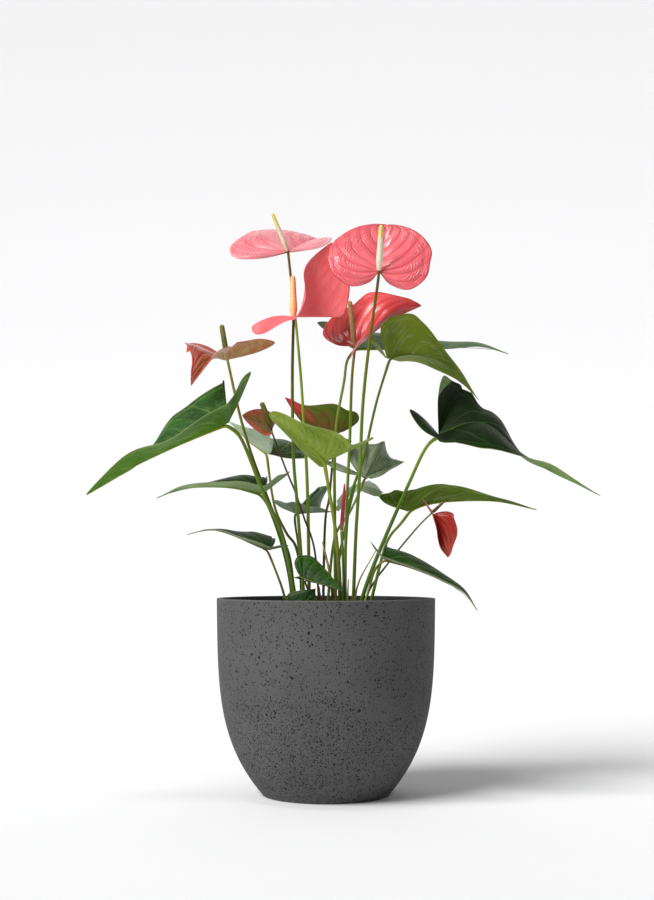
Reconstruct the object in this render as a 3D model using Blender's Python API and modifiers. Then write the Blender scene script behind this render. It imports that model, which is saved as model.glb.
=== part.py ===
"""A potted anthurium: a stone-composite pot, its soil, fifteen leaves, eight blooms, a bud and dry sheaths.

Metres, +Z up. The origin is the centre of the pot's flat foot. The plant's points are written in millimetres.

A blade is a heart-shaped sheet, given by real points and vectors:
  base, rib, tip        the midrib's points
  left, right           reach of each half from the midrib to its widest edge, seen with the tip ahead
  left_base, left_back  the same reach at the base and in the basal lobe, and so for right
  left_end, right_end   the same reach near the tip, where the blade is twisted
  lobe_left, lobe_right reach of each basal lobe from the base
  turn                  share of the midrib at which the widest edge lies and the twist to the tip begins
  full                  under 1 a blunt blade, over 1 a slender one
  wave, waves           height of the edge's waves as a share of the reach, and how many there are
"""

import math

import bmesh
import bpy
import numpy as np

MM = 0.001

# The pot
POT_HEIGHT = 177 * MM
POT_RIM_RADIUS = 100 * MM
POT_FOOT_RADIUS = 57 * MM
POT_BELLY = 40 * MM
POT_BELLY_POWER = 3.9
POT_WALL = 4.5 * MM
POT_FLOOR = 8 * MM
POT_CORNER = 4 * MM
POT_FOOT_ROUNDING = 1.2 * MM
POT_RIM_ROUNDING = 0.8 * MM
POT_SEGMENTS = 48
POT_LEVELS = 8

# The soil
SOIL_TOP = 156 * MM
SOIL_CROWN = 5 * MM
SOIL_LUMP = 1.2 * MM
SOIL_CORNER = 8 * MM
SOIL_LEVELS = 6
SOIL_RINGS = 4
SOIL_SEGMENTS = 24
TOUCH_GAP = 0.3 * MM
STEM_FOOT = 142 * MM

# The plant
LEAF_THICKNESS = 0.8 * MM
SPATHE_THICKNESS = 0.9 * MM
BLADE_ROWS = 16
HALF_COLUMNS = 2
TWISTED = 0.75
WELD = 0.01 * MM
STEM_SPAN = 22 * MM
STEM_FLARE = 1.25
STEM_TAPER = 0.9
RIB_SINK = 0.15 * MM
SPADIX_RINGS = 10
SPADIX_SIDES = 8

# Outline of half a leaf, from the notch round the lobe to the tip: along the midrib, across, and vein root.
# Along is 1 at the tip and -1 at the back of the lobe. Across is 1 at the widest place.
LEAF_OUTLINE = (
    (0.0, 0.0, 0.0),
    (-0.62, 0.16, 0.0),
    (-1.0, 0.5, 0.0),
    (-0.62, 0.86, 0.0),
    (0.1, 1.0, 0.02),
    (0.3, 0.9, 0.12),
    (0.5, 0.68, 0.3),
    (0.7, 0.4, 0.52),
    (0.86, 0.16, 0.74),
    (0.94, 0.06, 0.88),
    (1.0, 0.0, 1.0),
)
SPATHE_OUTLINE = (
    (0.0, 0.0, 0.0),
    (-0.62, 0.16, 0.0),
    (-1.0, 0.5, 0.0),
    (-0.62, 0.86, 0.0),
    (0.1, 1.0, 0.02),
    (0.36, 0.94, 0.12),
    (0.6, 0.72, 0.32),
    (0.8, 0.44, 0.56),
    (0.92, 0.2, 0.76),
    (0.97, 0.08, 0.9),
    (1.0, 0.0, 1.0),
)

# Each leaf in millimetres.
LEAVES = {
    "leaf_left_large": {
        "petiole": ((-23, -20, 150), (-38, -26, 229), (-57, -32, 273), (-76, -33, 320)),
        "base": (-88, -30, 336), "rib": ((-120, -36, 321), (-170, -44, 296)), "tip": (-213, -50, 269),
        "left": (0, -42, 4), "left_base": (0, -42, 10), "left_end": (0, -28, 23),
        "right": (-4, 32, 37), "right_base": (-6, 32, 40), "right_end": (10, 24, 4), "turn": 0.36,
        "lobe_left": (21, 0, 38), "lobe_right": (-4, 8, 14), "full": 0.65,
        "radius": 1.9, "wave": 0.03, "color": (0.07, 0.17, 0.06),
    },
    "leaf_left_middle": {
        "petiole": ((-30, 8, 150), (-33, 12, 190), (-42, 16, 229), (-54, 14, 262)),
        "base": (-59, 10, 273), "rib": ((-90, 3, 279), (-130, -7, 277)), "tip": (-155, -14, 268),
        "left": (0, -30, 5), "right": (0, 28, 16), "right_end": (0, 20, 2),
        "lobe_left": (26, 6, 18), "lobe_right": (4, 5, 6),
        "radius": 1.5, "wave": 0.04, "waves": 3.1, "color": (0.10, 0.20, 0.10),
    },
    "leaf_left_low": {
        "petiole": ((-33, -14, 150), (-38, -14, 180), (-47, -11, 205)),
        "base": (-52, -6, 221), "rib": ((-78, -2, 231), (-95, 2, 238), (-112, 5, 239)),
        "tip": (-129, 8, 235),
        "left": (0, -20, 2), "right": (0, 26, 12), "right_end": (0, 20, 3),
        "lobe_left": (18, 2, 3), "lobe_right": (5, 0, 2), "full": 1.35,
        "radius": 1.2, "wave": 0.04, "color": (0.03, 0.10, 0.03),
    },
    "leaf_front": {
        "petiole": ((13, -26, 150), (12, -28, 200), (8, -30, 242), (3, -32, 272)),
        "base": (0, -34, 300), "rib": ((-25, -48, 322),), "tip": (-50, -60, 341),
        "left": (22, -34, 12), "left_end": (10, -24, 8), "right": (-6, 14, -4),
        "lobe_left": (30, -8, 12), "lobe_right": (5, 6, 0), "full": 0.5,
        "radius": 1.8, "wave": 0.03, "color": (0.14, 0.30, 0.07),
    },
    "leaf_left_back": {
        "petiole": ((-16, 26, 150), (-27, 40, 219), (-37, 46, 236), (-47, 52, 256), (-52, 56, 276)),
        "base": (-56, 60, 314), "rib": ((-76, 80, 328),), "tip": (-97, 100, 350),
        "left": (2, -12, 17), "right": (22, 24, 12), "right_end": (8, 24, 8),
        "lobe_left": (4, -9, -3), "lobe_right": (26, -8, -10),
        "radius": 1.4, "wave": 0.05, "color": (0.10, 0.18, 0.11),
    },
    "leaf_middle_back": {
        "petiole": ((-22, 28, 150), (-25, 30, 215), (-29, 31, 245)),
        "base": (-30, 32, 256), "tip": (6, 58, 258),
        "left": (24, 22, 26), "left_end": (4, 18, 6), "right": (2, -18, 8),
        "lobe_left": (2, 0, 4), "lobe_right": (-20, 4, 6),
        "radius": 1.2, "wave": 0.08, "color": (0.16, 0.25, 0.17),
    },
    "leaf_middle_wavy": {
        "petiole": ((0, 2, 150), (6, 16, 221), (12, 20, 242), (21, 24, 254), (32, 30, 277)),
        "base": (36, 34, 289), "tip": (76, 68, 307),
        "left": (12, 22, 34), "left_end": (4, 18, 14), "right": (6, -12, -2), "right_back": (0, -8, -16),
        "lobe_left": (-20, 4, 10), "lobe_right": (-36, 4, 24), "full": 0.8,
        "radius": 1.3, "wave": 0.05, "waves": 3.1, "color": (0.06, 0.12, 0.07),
    },
    "leaf_right_back_low": {
        "petiole": ((6, 26, 150), (12, 38, 210), (20, 50, 250)),
        "base": (27, 60, 284), "tip": (44, 130, 292),
        "left": (-16, 12, -16), "right": (26, 0, -8),
        "lobe_left": (-6, -6, -16), "lobe_right": (6, -8, -8),
        "radius": 1.4, "wave": 0.08, "color": (0.16, 0.25, 0.16),
    },
    "leaf_right_large": {
        "petiole": ((27, -20, 150), (33, -19, 178), (47, -17, 216), (75, -15, 280), (92, -15, 315)),
        "base": (103, -15, 326),
        "rib": ((133, -17, 337), (154, -18, 331), (180, -22, 304), (206, -27, 291)),
        "tip": (247, -35, 269),
        "left": (9, 24, 14), "left_end": (-6, 20, 4), "left_base": (26, 33, 44), "left_back": (26, 34, 16),
        "right": (0, -36, -27), "right_end": (0, -26, 12), "right_base": (0, -36, -12),
        "right_back": (0, -30, -26), "turn": 0.24,
        "lobe_left": (-7, -5, 48), "lobe_right": (-27, 4, 34),
        "radius": 1.8, "wave": 0.02, "color": (0.01, 0.05, 0.01),
    },
    "leaf_right_high": {
        "petiole": ((14, 10, 150), (17, 10, 200), (20, 9, 252), (25, 9, 278), (35, 10, 307), (47, 8, 358)),
        "base": (57, 5, 399), "rib": ((77, 18, 405), (99, 30, 404), (124, 46, 393)), "tip": (148, 60, 366),
        "left": (2, 30, -3), "left_back": (-11, 14, 2), "left_base": (0, 26, 3), "left_end": (0, 22, -16),
        "right": (4, -19, 36), "right_end": (4, -20, 6), "right_back": (-2, -19, 30),
        "lobe_left": (-13, 8, 26), "lobe_right": (-5, 0, 8), "full": 1.1,
        "radius": 1.4, "wave": 0.03, "color": (0.18, 0.28, 0.04),
    },
    "leaf_back_high": {
        "petiole": ((9, 4, 150), (8, 8, 263), (8, 11, 303), (10, 13, 340), (17, 20, 379), (20, 28, 400)),
        "base": (25, 40, 414), "rib": ((110, 66, 417), (150, 76, 421)), "tip": (181, 86, 415),
        "left": (5, 38, 20), "right": (0, -20, 8),
        "lobe_left": (-36, 0, 18), "lobe_right": (-6, 4, 4),
        "radius": 1.5, "wave": 0.03, "color": (0.10, 0.17, 0.08),
    },
    "leaf_right_middle": {
        "petiole": ((36, -2, 150), (44, -2, 185), (56, 2, 228), (69, 6, 245)),
        "base": (75, 8, 257), "rib": ((100, 12, 265), (155, 22, 267)), "tip": (199, 30, 259),
        "left": (0, 30, 6), "right": (5, -16, 18), "right_end": (4, -14, 8),
        "lobe_left": (-8, 0, 6), "lobe_right": (-28, 4, 4),
        "radius": 1.5, "wave": 0.06, "waves": 4.1, "color": (0.12, 0.24, 0.06),
    },
    "leaf_right_low": {
        "petiole": ((34, -32, 150), (36, -36, 176), (40, -41, 192), (44, -44, 204)),
        "base": (50, -46, 213), "rib": ((78, -50, 204), (101, -54, 194), (121, -57, 183)),
        "tip": (133, -60, 167),
        "left": (6, 24, 10), "right": (-2, -26, 1),
        "lobe_left": (0, 6, 6), "lobe_right": (-11, 0, 15),
        "radius": 1.2, "wave": 0.02, "color": (0.02, 0.08, 0.02),
    },
    "leaf_small_front": {
        "petiole": ((-8, -30, 150), (-10, -40, 170), (-16, -50, 186)),
        "base": (-20, -55, 195), "tip": (14, -66, 185),
        "left": (2, 14, 21), "right": (-4, -14, 2),
        "lobe_left": (-9, 0, 4), "lobe_right": (-6, -4, 0), "full": 0.85,
        "radius": 1.0, "wave": 0.03, "color": (0.03, 0.13, 0.02),
    },
    "leaf_small_left": {
        "petiole": ((-20, -32, 150), (-22, -40, 156)),
        "base": (-24, -52, 166), "tip": (-9, -57, 187),
        "left": (-12, 6, 12), "right": (12, -4, -6),
        "lobe_left": (-6, 0, 4), "lobe_right": (4, -2, -4),
        "radius": 1.0, "wave": 0.02, "color": (0.04, 0.14, 0.03),
    },
}

# Each bloom in millimetres: the stem's points up to its top, the spathe and the spadix. "seat" and "perch"
# move the spathe's base and the spadix's foot aside, so that the three stay clear of one another, and
# "thickness" is that of a spathe thinner than the others.
BLOOMS = {
    "top_left": {
        "stem": ((-15, 2, 150), (-17, 6, 270), (-21, 11, 345), (-26, 17, 410), (-36, 25, 503)),
        "seat": (0.2, 0, 0.6), "perch": (0, -0.4, 0.4), "rib": ((-14, 66, 524),), "tip": (1, 88, 527),
        "left": (-46, 26, 22), "left_end": (-38, 26, 22), "right": (30, -12, 2),
        "lobe_left": (-28, -20, -18), "lobe_right": (0, -6, -2),
        "spadix_tip": (-51, 18, 540), "spadix_radius": 2.6, "radius": 1.5,
        "spathe_color": (0.87, 0.20, 0.26), "spadix_color": (0.90, 0.62, 0.18),
        "stem_color": (0.16, 0.14, 0.04),
    },
    "middle_left": {
        "stem": ((-19, -2, 150), (-23, -5, 218), (-27, -8, 270), (-30, -9, 310), (-31, -9, 379),
                 (-30, -10, 434)),
        "seat": (1.5, -3, -0.7), "perch": (0, -0.3, -0.9),
        "rib": ((-23, -11, 438), (-18, -6, 455), (-7, 1, 482)),
        "tip": (5, 14, 511),
        "left": (40, 14, 2), "right": (2, -28, 2), "right_base": (-2, -20, -6), "right_end": (-20, -18, 0),
        "right_back": (-10, -10, -32),
        "lobe_left": (3, 6, 4), "lobe_right": (-36, 12, 8),
        "spadix_tip": (-31, 4, 477), "spadix_radius": 4.0, "radius": 1.6,
        "spathe_color": (0.80, 0.09, 0.10), "spadix_color": (0.90, 0.42, 0.16),
        "stem_color": (0.14, 0.18, 0.03),
    },
    "top_right": {
        "stem": ((24, -6, 150), (27, -12, 229), (29, -16, 263), (31, -20, 297), (33, -23, 344),
                 (36, -26, 379), (41, -29, 420), (46, -32, 454), (48, -34, 470)),
        "seat": (0, -1, 1.8), "perch": (0, -2.2, 2), "rib": ((53, -14, 499),), "tip": (57, 2, 525),
        "left": (-47, 2, 13), "right": (47, 2, 8),
        "lobe_left": (-3, -8, -21), "lobe_right": (3, -8, -22), "full": 0.7,
        "spadix_tip": (50, -44, 514), "spadix_radius": 3.4, "radius": 1.6,
        "spathe_color": (0.87, 0.10, 0.14), "spadix_color": (0.92, 0.78, 0.36),
        "stem_color": (0.20, 0.17, 0.03),
    },
    "middle_right": {
        "stem": ((17, -10, 150), (18, -9, 229), (20, -6, 283), (22, -4, 324), (24, -1, 379), (27, 4, 409)),
        "seat": (1, 0, 0.5), "perch": (0, -1.2, 0), "rib": ((58, 8, 434),), "tip": (90, 16, 451),
        "left": (-3, 30, 45), "left_end": (0, 26, 34), "right": (0, -16, 2), "right_end": (0, -12, 8),
        "lobe_left": (-31, 8, -7), "lobe_right": (-8, -14, -16),
        "spadix_tip": (22, -4, 452), "spadix_radius": 2.6, "radius": 1.5,
        "spathe_color": (0.78, 0.04, 0.05), "spadix_color": (0.45, 0.27, 0.10),
        "stem_color": (0.16, 0.15, 0.03),
    },
    "far_left": {
        "stem": ((-27, 14, 150), (-33, 22, 208), (-41, 30, 233), (-58, 44, 277), (-71, 42, 312),
                 (-82, 32, 350), (-93, 22, 400)),
        "seat": (-0.6, -0.8, 0.5), "perch": (0.2, 0, -1), "rib": ((-106, -8, 396),), "tip": (-122, -34, 369),
        "left": (12, -20, 8), "left_end": (10, -12, 8), "left_base": (12, -20, 14), "left_back": (0, -20, 16),
        "right": (-32, -6, 14), "right_end": (-14, -6, 12), "right_base": (-32, -6, 6),
        "right_back": (-24, -6, -18), "lobe_left": (46, 8, 8), "lobe_right": (-24, 14, 26),
        "spadix_tip": (-99, 24, 434), "spadix_radius": 2.3, "radius": 1.5,
        "spathe_color": (0.52, 0.10, 0.06), "spadix_color": (0.22, 0.22, 0.04),
        "stem_color": (0.12, 0.10, 0.03),
    },
    "small_left": {
        "stem": ((-5, -14, 150), (-10, -7, 218), (-20, 0, 250), (-29, 6, 276), (-37, 11, 295),
                 (-51, 14, 332)),
        "perch": (0.8, -0.6, 1.3), "tip": (-78, 6, 346),
        "left": (-4, -12, -6), "right": (2, 12, 17),
        "lobe_left": (4, -3, -1), "lobe_right": (4, 4, 2),
        "spadix_tip": (-60, 6, 358), "spadix_radius": 2.3, "radius": 1.0, "thickness": 0.65,
        "spathe_color": (0.32, 0.07, 0.04), "spadix_color": (0.22, 0.22, 0.04),
        "stem_color": (0.06, 0.03, 0.02),
    },
    "old_middle": {
        "stem": ((-3, 16, 150), (-1, 24, 243), (3, 32, 270), (6, 38, 302), (9, 44, 328)),
        "seat": (-1.5, 1.4, 2.1), "perch": (0.4, -0.2, 0.4), "rib": ((-14, 50, 344),), "tip": (-40, 60, 369),
        "left": (-4, -12, -8), "right": (14, 20, 26), "right_end": (4, 10, 10),
        "lobe_left": (20, 2, -3), "lobe_right": (18, 6, 2),
        "spadix_tip": (12, 34, 352), "spadix_radius": 2.2, "radius": 1.3,
        "spathe_color": (0.18, 0.14, 0.03), "spadix_color": (0.25, 0.20, 0.06),
        "stem_color": (0.12, 0.07, 0.03),
    },
    "small_right": {
        "stem": ((30, 8, 150), (40, 6, 184), (59, 2, 211), (69, -2, 224), (85, -8, 243), (96, -12, 254)),
        "seat": (0.6, -0.2, 0), "rib": ((101, -16, 238), (103, -20, 224)), "tip": (110, -26, 214),
        "left": (19, -8, -2), "right": (-2, -14, 4),
        "lobe_left": (4, 2, 4), "lobe_right": (-8, 4, 12),
        "spadix_tip": (108, -12, 265), "spadix_radius": 1.8, "radius": 0.9, "thickness": 0.65,
        "spathe_color": (0.45, 0.03, 0.02), "spadix_color": (0.20, 0.13, 0.04),
        "stem_color": (0.14, 0.11, 0.03),
    },
}

BUD = {
    "stem": ((17, -20, 150), (16, -22, 200), (14, -23, 238)),
    "tip": (17, -22, 281),
    "radius": 1.4,
    "bud_radius": 2.0,
}

# Dry sheaths round the stems: a path in millimetres, the radius at its foot, and a colour
SHEATHS = {
    "sheath_tall": (((8, -40, 150), (5, -42, 190), (-3, -43, 228)), 2.2, (0.32, 0.30, 0.08)),
    "sheath_brown": (((-3, -42, 150), (-4, -42, 170), (-6, -42, 188)), 1.5, (0.30, 0.14, 0.05)),
    "sheath_dry": (((25, -34, 150), (28, -37, 188), (45, -40, 221)), 1.2, (0.30, 0.20, 0.08)),
    "sheath_pale": (((31, -44, 150), (34, -45, 172), (39, -46, 190)), 1.8, (0.38, 0.42, 0.12)),
    "sheath_yellow": (((19, -42, 150), (19, -43, 175), (20, -43, 195)), 1.6, (0.42, 0.40, 0.10)),
}


def clear_scene():
    for thing in list(bpy.data.objects):
        bpy.data.objects.remove(thing, do_unlink=True)


def new_collection(name):
    collection = bpy.data.collections.new(name)
    bpy.context.scene.collection.children.link(collection)
    return collection


def principled(name, color, roughness, metallic=0.0):
    material = bpy.data.materials.new(name)
    material.use_nodes = True
    shader = material.node_tree.nodes["Principled BSDF"]
    shader.inputs["Base Color"].default_value = (*color, 1.0)
    shader.inputs["Roughness"].default_value = roughness
    shader.inputs["Metallic"].default_value = metallic
    return material


def add_object(name, mesh, collection, material):
    thing = bpy.data.objects.new(name, mesh)
    thing.data.materials.clear()
    thing.data.materials.append(material)
    collection.objects.link(thing)
    return thing


def millimetres(point):
    return np.array(point, float) * MM


def unit(vector):
    return vector / np.linalg.norm(vector)


def smooth_path(points, count):
    """Even samples of a Catmull-Rom curve through the points."""
    points = np.asarray(points, float)
    ends = np.vstack([2 * points[0] - points[1], points, 2 * points[-1] - points[-2]])
    place = np.linspace(0, len(points) - 1, count)
    first = np.minimum(place.astype(int), len(points) - 2)
    t = (place - first)[:, None]
    a, b, c, d = (ends[first + step] for step in range(4))
    return 0.5 * (2 * b + (c - a) * t + (2 * a - 5 * b + 4 * c - d) * t**2 + (3 * b - a - 3 * c + d) * t**3)


def even_path(points, spacing):
    """Points at about equal spacing along the smooth curve through the given ones."""
    fine = smooth_path(points, 20 * len(points))
    length = np.concatenate([[0], np.cumsum(np.linalg.norm(np.diff(fine, axis=0), axis=1))])
    count = max(4, int(round(length[-1] / spacing)) + 1)
    place = np.linspace(0, length[-1], count)
    return np.stack([np.interp(place, length, fine[:, axis]) for axis in range(3)], axis=1)


def tube_mesh(name, path, radii, sides_resolution=1):
    """A tube with closed ends along a path, thick as the radii say."""
    curve = bpy.data.curves.new(name, "CURVE")
    curve.dimensions = "3D"
    curve.bevel_depth = 1.0
    curve.bevel_resolution = sides_resolution
    curve.use_fill_caps = True
    spline = curve.splines.new("POLY")
    spline.points.add(len(path) - 1)
    for point, place, radius in zip(spline.points, path, radii):
        point.co = (*place, 1.0)
        point.radius = radius
    holder = bpy.data.objects.new(name, curve)
    bpy.context.scene.collection.objects.link(holder)
    bpy.context.view_layer.update()
    evaluated = holder.evaluated_get(bpy.context.evaluated_depsgraph_get())
    mesh = bpy.data.meshes.new_from_object(evaluated)
    bpy.data.objects.remove(holder)
    shell = bmesh.new()
    shell.from_mesh(mesh)
    bmesh.ops.remove_doubles(shell, verts=shell.verts, dist=1e-6)
    bmesh.ops.recalc_face_normals(shell, faces=shell.faces)
    shell.to_mesh(mesh)
    shell.free()
    return mesh


def smooth_step(t):
    t = np.clip(t, 0, 1)
    return t * t * (3 - 2 * t)


def rib_points(blade):
    """Even points along the midrib, from the base to the tip."""
    given = [blade["base"], *blade.get("rib", ()), blade["tip"]]
    if len(given) == 2:
        given.insert(1, tuple((np.array(given[0]) + np.array(given[1])) / 2))
    return even_path([millimetres(point) for point in given], 1 * MM)


def along_rib(blade, share):
    """The midrib's place at each share of its length."""
    rib = rib_points(blade)
    place = np.clip(share, 0, 1) * (len(rib) - 1)
    return np.stack([np.interp(place, np.arange(len(rib)), rib[:, axis]) for axis in range(3)], axis=-1)


def half_blade(blade, side, outline):
    """Points of one half, rows from the notch to the tip and columns from the midrib to the edge."""
    reach = millimetres(blade[side])
    reach_end = millimetres(blade.get(side + "_end", blade[side]))
    reach_base = millimetres(blade.get(side + "_base", blade[side]))
    reach_back = millimetres(blade.get(side + "_back", reach_base / MM))
    turn = blade.get("turn", 0.15)
    lobe = millimetres(blade["lobe_" + side])
    edge = smooth_path(outline, BLADE_ROWS + 1)
    along_edge, across_edge, root = (edge[:, i, None] for i in range(3))
    fuller = np.where(along_edge > 0.1, blade.get("full", 1.0), 1.0)
    across_edge = np.clip(across_edge, 0, None) ** fuller
    t = np.linspace(0, 1, HALF_COLUMNS + 1)[None, :]
    along = root + (along_edge - root) * t
    across = across_edge * t
    ahead = np.clip(along, 0, 1)[..., None]
    behind = np.clip(-along, 0, None)[..., None]
    sideways = reach_base + (reach - reach_base) * smooth_step(ahead / turn)
    sideways = sideways + (reach_end - reach) * smooth_step((ahead - turn) / (TWISTED - turn))
    sideways = sideways + (reach_back - reach_base) * smooth_step(behind)
    rib = along_rib(blade, ahead[..., 0])
    forward = along_rib(blade, ahead[..., 0] + 0.02) - along_rib(blade, ahead[..., 0] - 0.02)
    upward = np.cross(forward, sideways) * (1 if side == "left" else -1)
    upward = upward / np.linalg.norm(upward, axis=-1, keepdims=True)
    width = np.linalg.norm(reach)
    turns = blade.get("waves", 2.3)
    ripple = np.sin(turns * np.pi * along_edge + (0.6 if side == "left" else 2.1)) * t**2 * across_edge
    camber = 0.05 * 4 * t * (1 - t) * across_edge
    lift = ((blade.get("wave", 0.0) * ripple + camber) * width)[..., None]
    return rib + lobe * behind + sideways * across[..., None] + upward * lift


def blade_mesh(name, blade, outline, thickness):
    """The whole heart-shaped sheet, split into triangles and thickened."""
    left = half_blade(blade, "left", outline)
    right = half_blade(blade, "right", outline)
    grid = np.concatenate([left[:, :0:-1], right], axis=1)
    height, width = grid.shape[:2]
    corners = np.arange(height * width).reshape(height, width)
    quads = [corners[:-1, :-1], corners[1:, :-1], corners[1:, 1:], corners[:-1, 1:]]
    quads = np.stack(quads, axis=-1).reshape(-1, 4)
    mesh = bpy.data.meshes.new(name)
    mesh.from_pydata(grid.reshape(-1, 3).tolist(), [], quads.tolist())
    sheet = bmesh.new()
    sheet.from_mesh(mesh)
    bmesh.ops.remove_doubles(sheet, verts=sheet.verts, dist=WELD)
    bmesh.ops.triangulate(sheet, faces=sheet.faces, quad_method="SHORT_EDGE")
    sheet.to_mesh(mesh)
    sheet.free()
    return solidified(name, mesh, thickness)


def solidified(name, mesh, thickness):
    """The open sheet as a closed one of the given thickness, half to each side."""
    holder = bpy.data.objects.new(name, mesh)
    bpy.context.scene.collection.objects.link(holder)
    shell = holder.modifiers.new("Thickness", "SOLIDIFY")
    shell.thickness = thickness
    shell.offset = 0.0
    shell.use_even_offset = False
    bpy.context.view_layer.update()
    closed = bpy.data.meshes.new_from_object(holder.evaluated_get(bpy.context.evaluated_depsgraph_get()))
    bpy.data.objects.remove(holder)
    return closed


def joined(name, first, second, collection, material):
    """Two overlapping closed meshes made one body."""
    whole = add_object(name, first, collection, material)
    other = bpy.data.objects.new(name + "_part", second)
    collection.objects.link(other)
    union = whole.modifiers.new("Join", "BOOLEAN")
    union.operation = "UNION"
    union.solver = "MANIFOLD"
    union.object = other
    bpy.context.view_layer.update()
    mesh = bpy.data.meshes.new_from_object(whole.evaluated_get(bpy.context.evaluated_depsgraph_get()))
    whole.modifiers.clear()
    whole.data = mesh
    whole.data.materials.clear()
    whole.data.materials.append(material)
    bpy.data.objects.remove(other)
    return whole


def upper_normal(blade):
    axis = millimetres(blade["tip"]) - millimetres(blade["base"])
    across = millimetres(blade["left"]) - millimetres(blade["right"])
    return unit(np.cross(axis, across))


def petiole(leaf):
    """Path and radii of the leaf stalk, which runs on under the blade as the thick foot of the midrib."""
    radius = leaf["radius"] * MM
    down = -upper_normal(leaf)
    base, near, far = along_rib(leaf, np.array([0.02, 0.12, 0.25]))
    stalk = [millimetres(point) for point in leaf["petiole"]]
    stalk = even_path(stalk + [base + (STEM_TAPER * radius - RIB_SINK) * down], STEM_SPAN)
    rib = [near + (0.7 * radius - RIB_SINK) * down, far + (0.4 * radius - RIB_SINK) * down]
    radii = np.linspace(STEM_FLARE, STEM_TAPER, len(stalk)) * radius
    return foot_extended(np.vstack([stalk, rib])), np.append(radii, [0.7 * radius, 0.4 * radius])


def foot_extended(path):
    """The path with its first point moved down to the depth of the stems' feet."""
    path = np.array(path, float)
    step = path[0] - path[1]
    path[0] = path[1] + step * (path[1][2] - STEM_FOOT) / (path[1][2] - path[0][2])
    return path


def make_leaf(name, leaf, collection):
    """The stalk and the blade on it as one body."""
    path, radii = petiole(leaf)
    stalk = tube_mesh(name + "_stalk", path, radii)
    blade = blade_mesh(name, leaf, LEAF_OUTLINE, LEAF_THICKNESS)
    joined(name, blade, stalk, collection, principled(name, leaf["color"], 0.4))
    return path, radii


def spadix_mesh(name, foot, tip, radius):
    """A tapered rod whose surface stands in a spiral net of small florets."""
    axis = unit(tip - foot)
    first = unit(np.cross(axis, (0.3, 1.0, 0.2)))
    second = np.cross(axis, first)
    v = np.linspace(0, 1, SPADIX_RINGS)[:, None]
    half_turn = np.pi / SPADIX_SIDES * (np.arange(SPADIX_RINGS)[:, None] % 2)
    u = np.linspace(0, 2 * np.pi, SPADIX_SIDES, endpoint=False)[None, :] + half_turn
    body = np.minimum(1, 0.5 + 2.4 * v) * (1 - 0.42 * v) * np.sqrt(1 - 0.8 * ((v - 0.9) / 0.1).clip(0) ** 2)
    florets = 1 + 0.06 * np.cos(0.5 * SPADIX_SIDES * u + 9 * np.pi * v)
    out = (radius * body * florets)[..., None]
    centre = foot + (tip - foot) * v[..., None]
    spoke = np.cos(u)[..., None] * first + np.sin(u)[..., None] * second
    return capped_rings(name, centre + out * spoke)


def capped_rings(name, points):
    """Rings of points joined by triangles and closed at both ends."""
    rings, sides = points.shape[:2]
    faces = []
    for ring in range(rings - 1):
        for side in range(sides):
            after = (side + 1) % sides
            a, b = ring * sides + side, ring * sides + after
            c, d = a + sides, b + sides
            faces += [(a, b, d), (a, d, c)] if ring % 2 else [(a, b, c), (b, d, c)]
    faces.append(tuple(range(sides))[::-1])
    faces.append(tuple((rings - 1) * sides + side for side in range(sides)))
    mesh = bpy.data.meshes.new(name)
    mesh.from_pydata(points.reshape(-1, 3).tolist(), [], faces)
    shell = bmesh.new()
    shell.from_mesh(mesh)
    bmesh.ops.recalc_face_normals(shell, faces=shell.faces)
    shell.to_mesh(mesh)
    shell.free()
    return mesh


def make_bloom(name, bloom, collection):
    """The stem, the spathe on its top and the spadix above both, each a body of its own."""
    path = foot_extended(even_path([millimetres(point) for point in bloom["stem"]], STEM_SPAN))
    radius = bloom["radius"] * MM
    radii = np.linspace(STEM_FLARE, STEM_TAPER, len(path)) * radius
    stem = tube_mesh("stem_" + name, path, radii)
    add_object("stem_" + name, stem, collection, principled("stem_" + name, bloom["stem_color"], 0.45))
    top = path[-1]
    ahead = unit(millimetres(bloom["tip"]) - top)
    seat = ahead * (STEM_TAPER * radius + TOUCH_GAP) + millimetres(bloom.get("seat", (0, 0, 0)))
    spathe = dict(bloom, base=tuple((top + seat) / MM))
    thickness = bloom.get("thickness", SPATHE_THICKNESS / MM) * MM
    mesh = blade_mesh("spathe_" + name, spathe, SPATHE_OUTLINE, thickness)
    add_object("spathe_" + name, mesh, collection, principled("spathe_" + name, bloom["spathe_color"], 0.25))
    tip = millimetres(bloom["spadix_tip"])
    perch = unit(tip - top) * (STEM_TAPER * radius + TOUCH_GAP) + millimetres(bloom.get("perch", (0, 0, 0)))
    rod = spadix_mesh("spadix_" + name, top + perch, tip, bloom["spadix_radius"] * MM)
    add_object("spadix_" + name, rod, collection, principled("spadix_" + name, bloom["spadix_color"], 0.6))
    return path, radii


def make_bud(collection):
    """A spathe still rolled up round its spadix, on its own stem."""
    path = foot_extended(even_path([millimetres(point) for point in BUD["stem"]], STEM_SPAN))
    radii = np.linspace(STEM_FLARE, STEM_TAPER, len(path)) * BUD["radius"] * MM
    stem = tube_mesh("bud_stem", path, radii)
    add_object("bud_stem", stem, collection, principled("bud_stem", (0.16, 0.22, 0.05), 0.45))
    tip = millimetres(BUD["tip"])
    foot = path[-1] + unit(tip - path[-1]) * TOUCH_GAP
    steps = np.linspace(0, 1, 7)[:, None]
    thick = BUD["bud_radius"] * MM * (0.15 + 0.85 * np.sqrt(1 - steps[:, 0] ** 2))
    rolled = tube_mesh("bud_spathe", foot + (tip - foot) * steps, thick)
    add_object("bud_spathe", rolled, collection, principled("bud_spathe", (0.62, 0.03, 0.08), 0.35))
    return path, radii


def make_sheath(name, path, radius, color, collection):
    path = foot_extended(even_path([millimetres(point) for point in path], 8 * MM))
    radii = radius * MM * np.linspace(1, 0.3, len(path))
    add_object(name, tube_mesh(name, path, radii), collection, principled(name, color, 0.7))
    return path, radii


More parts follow.
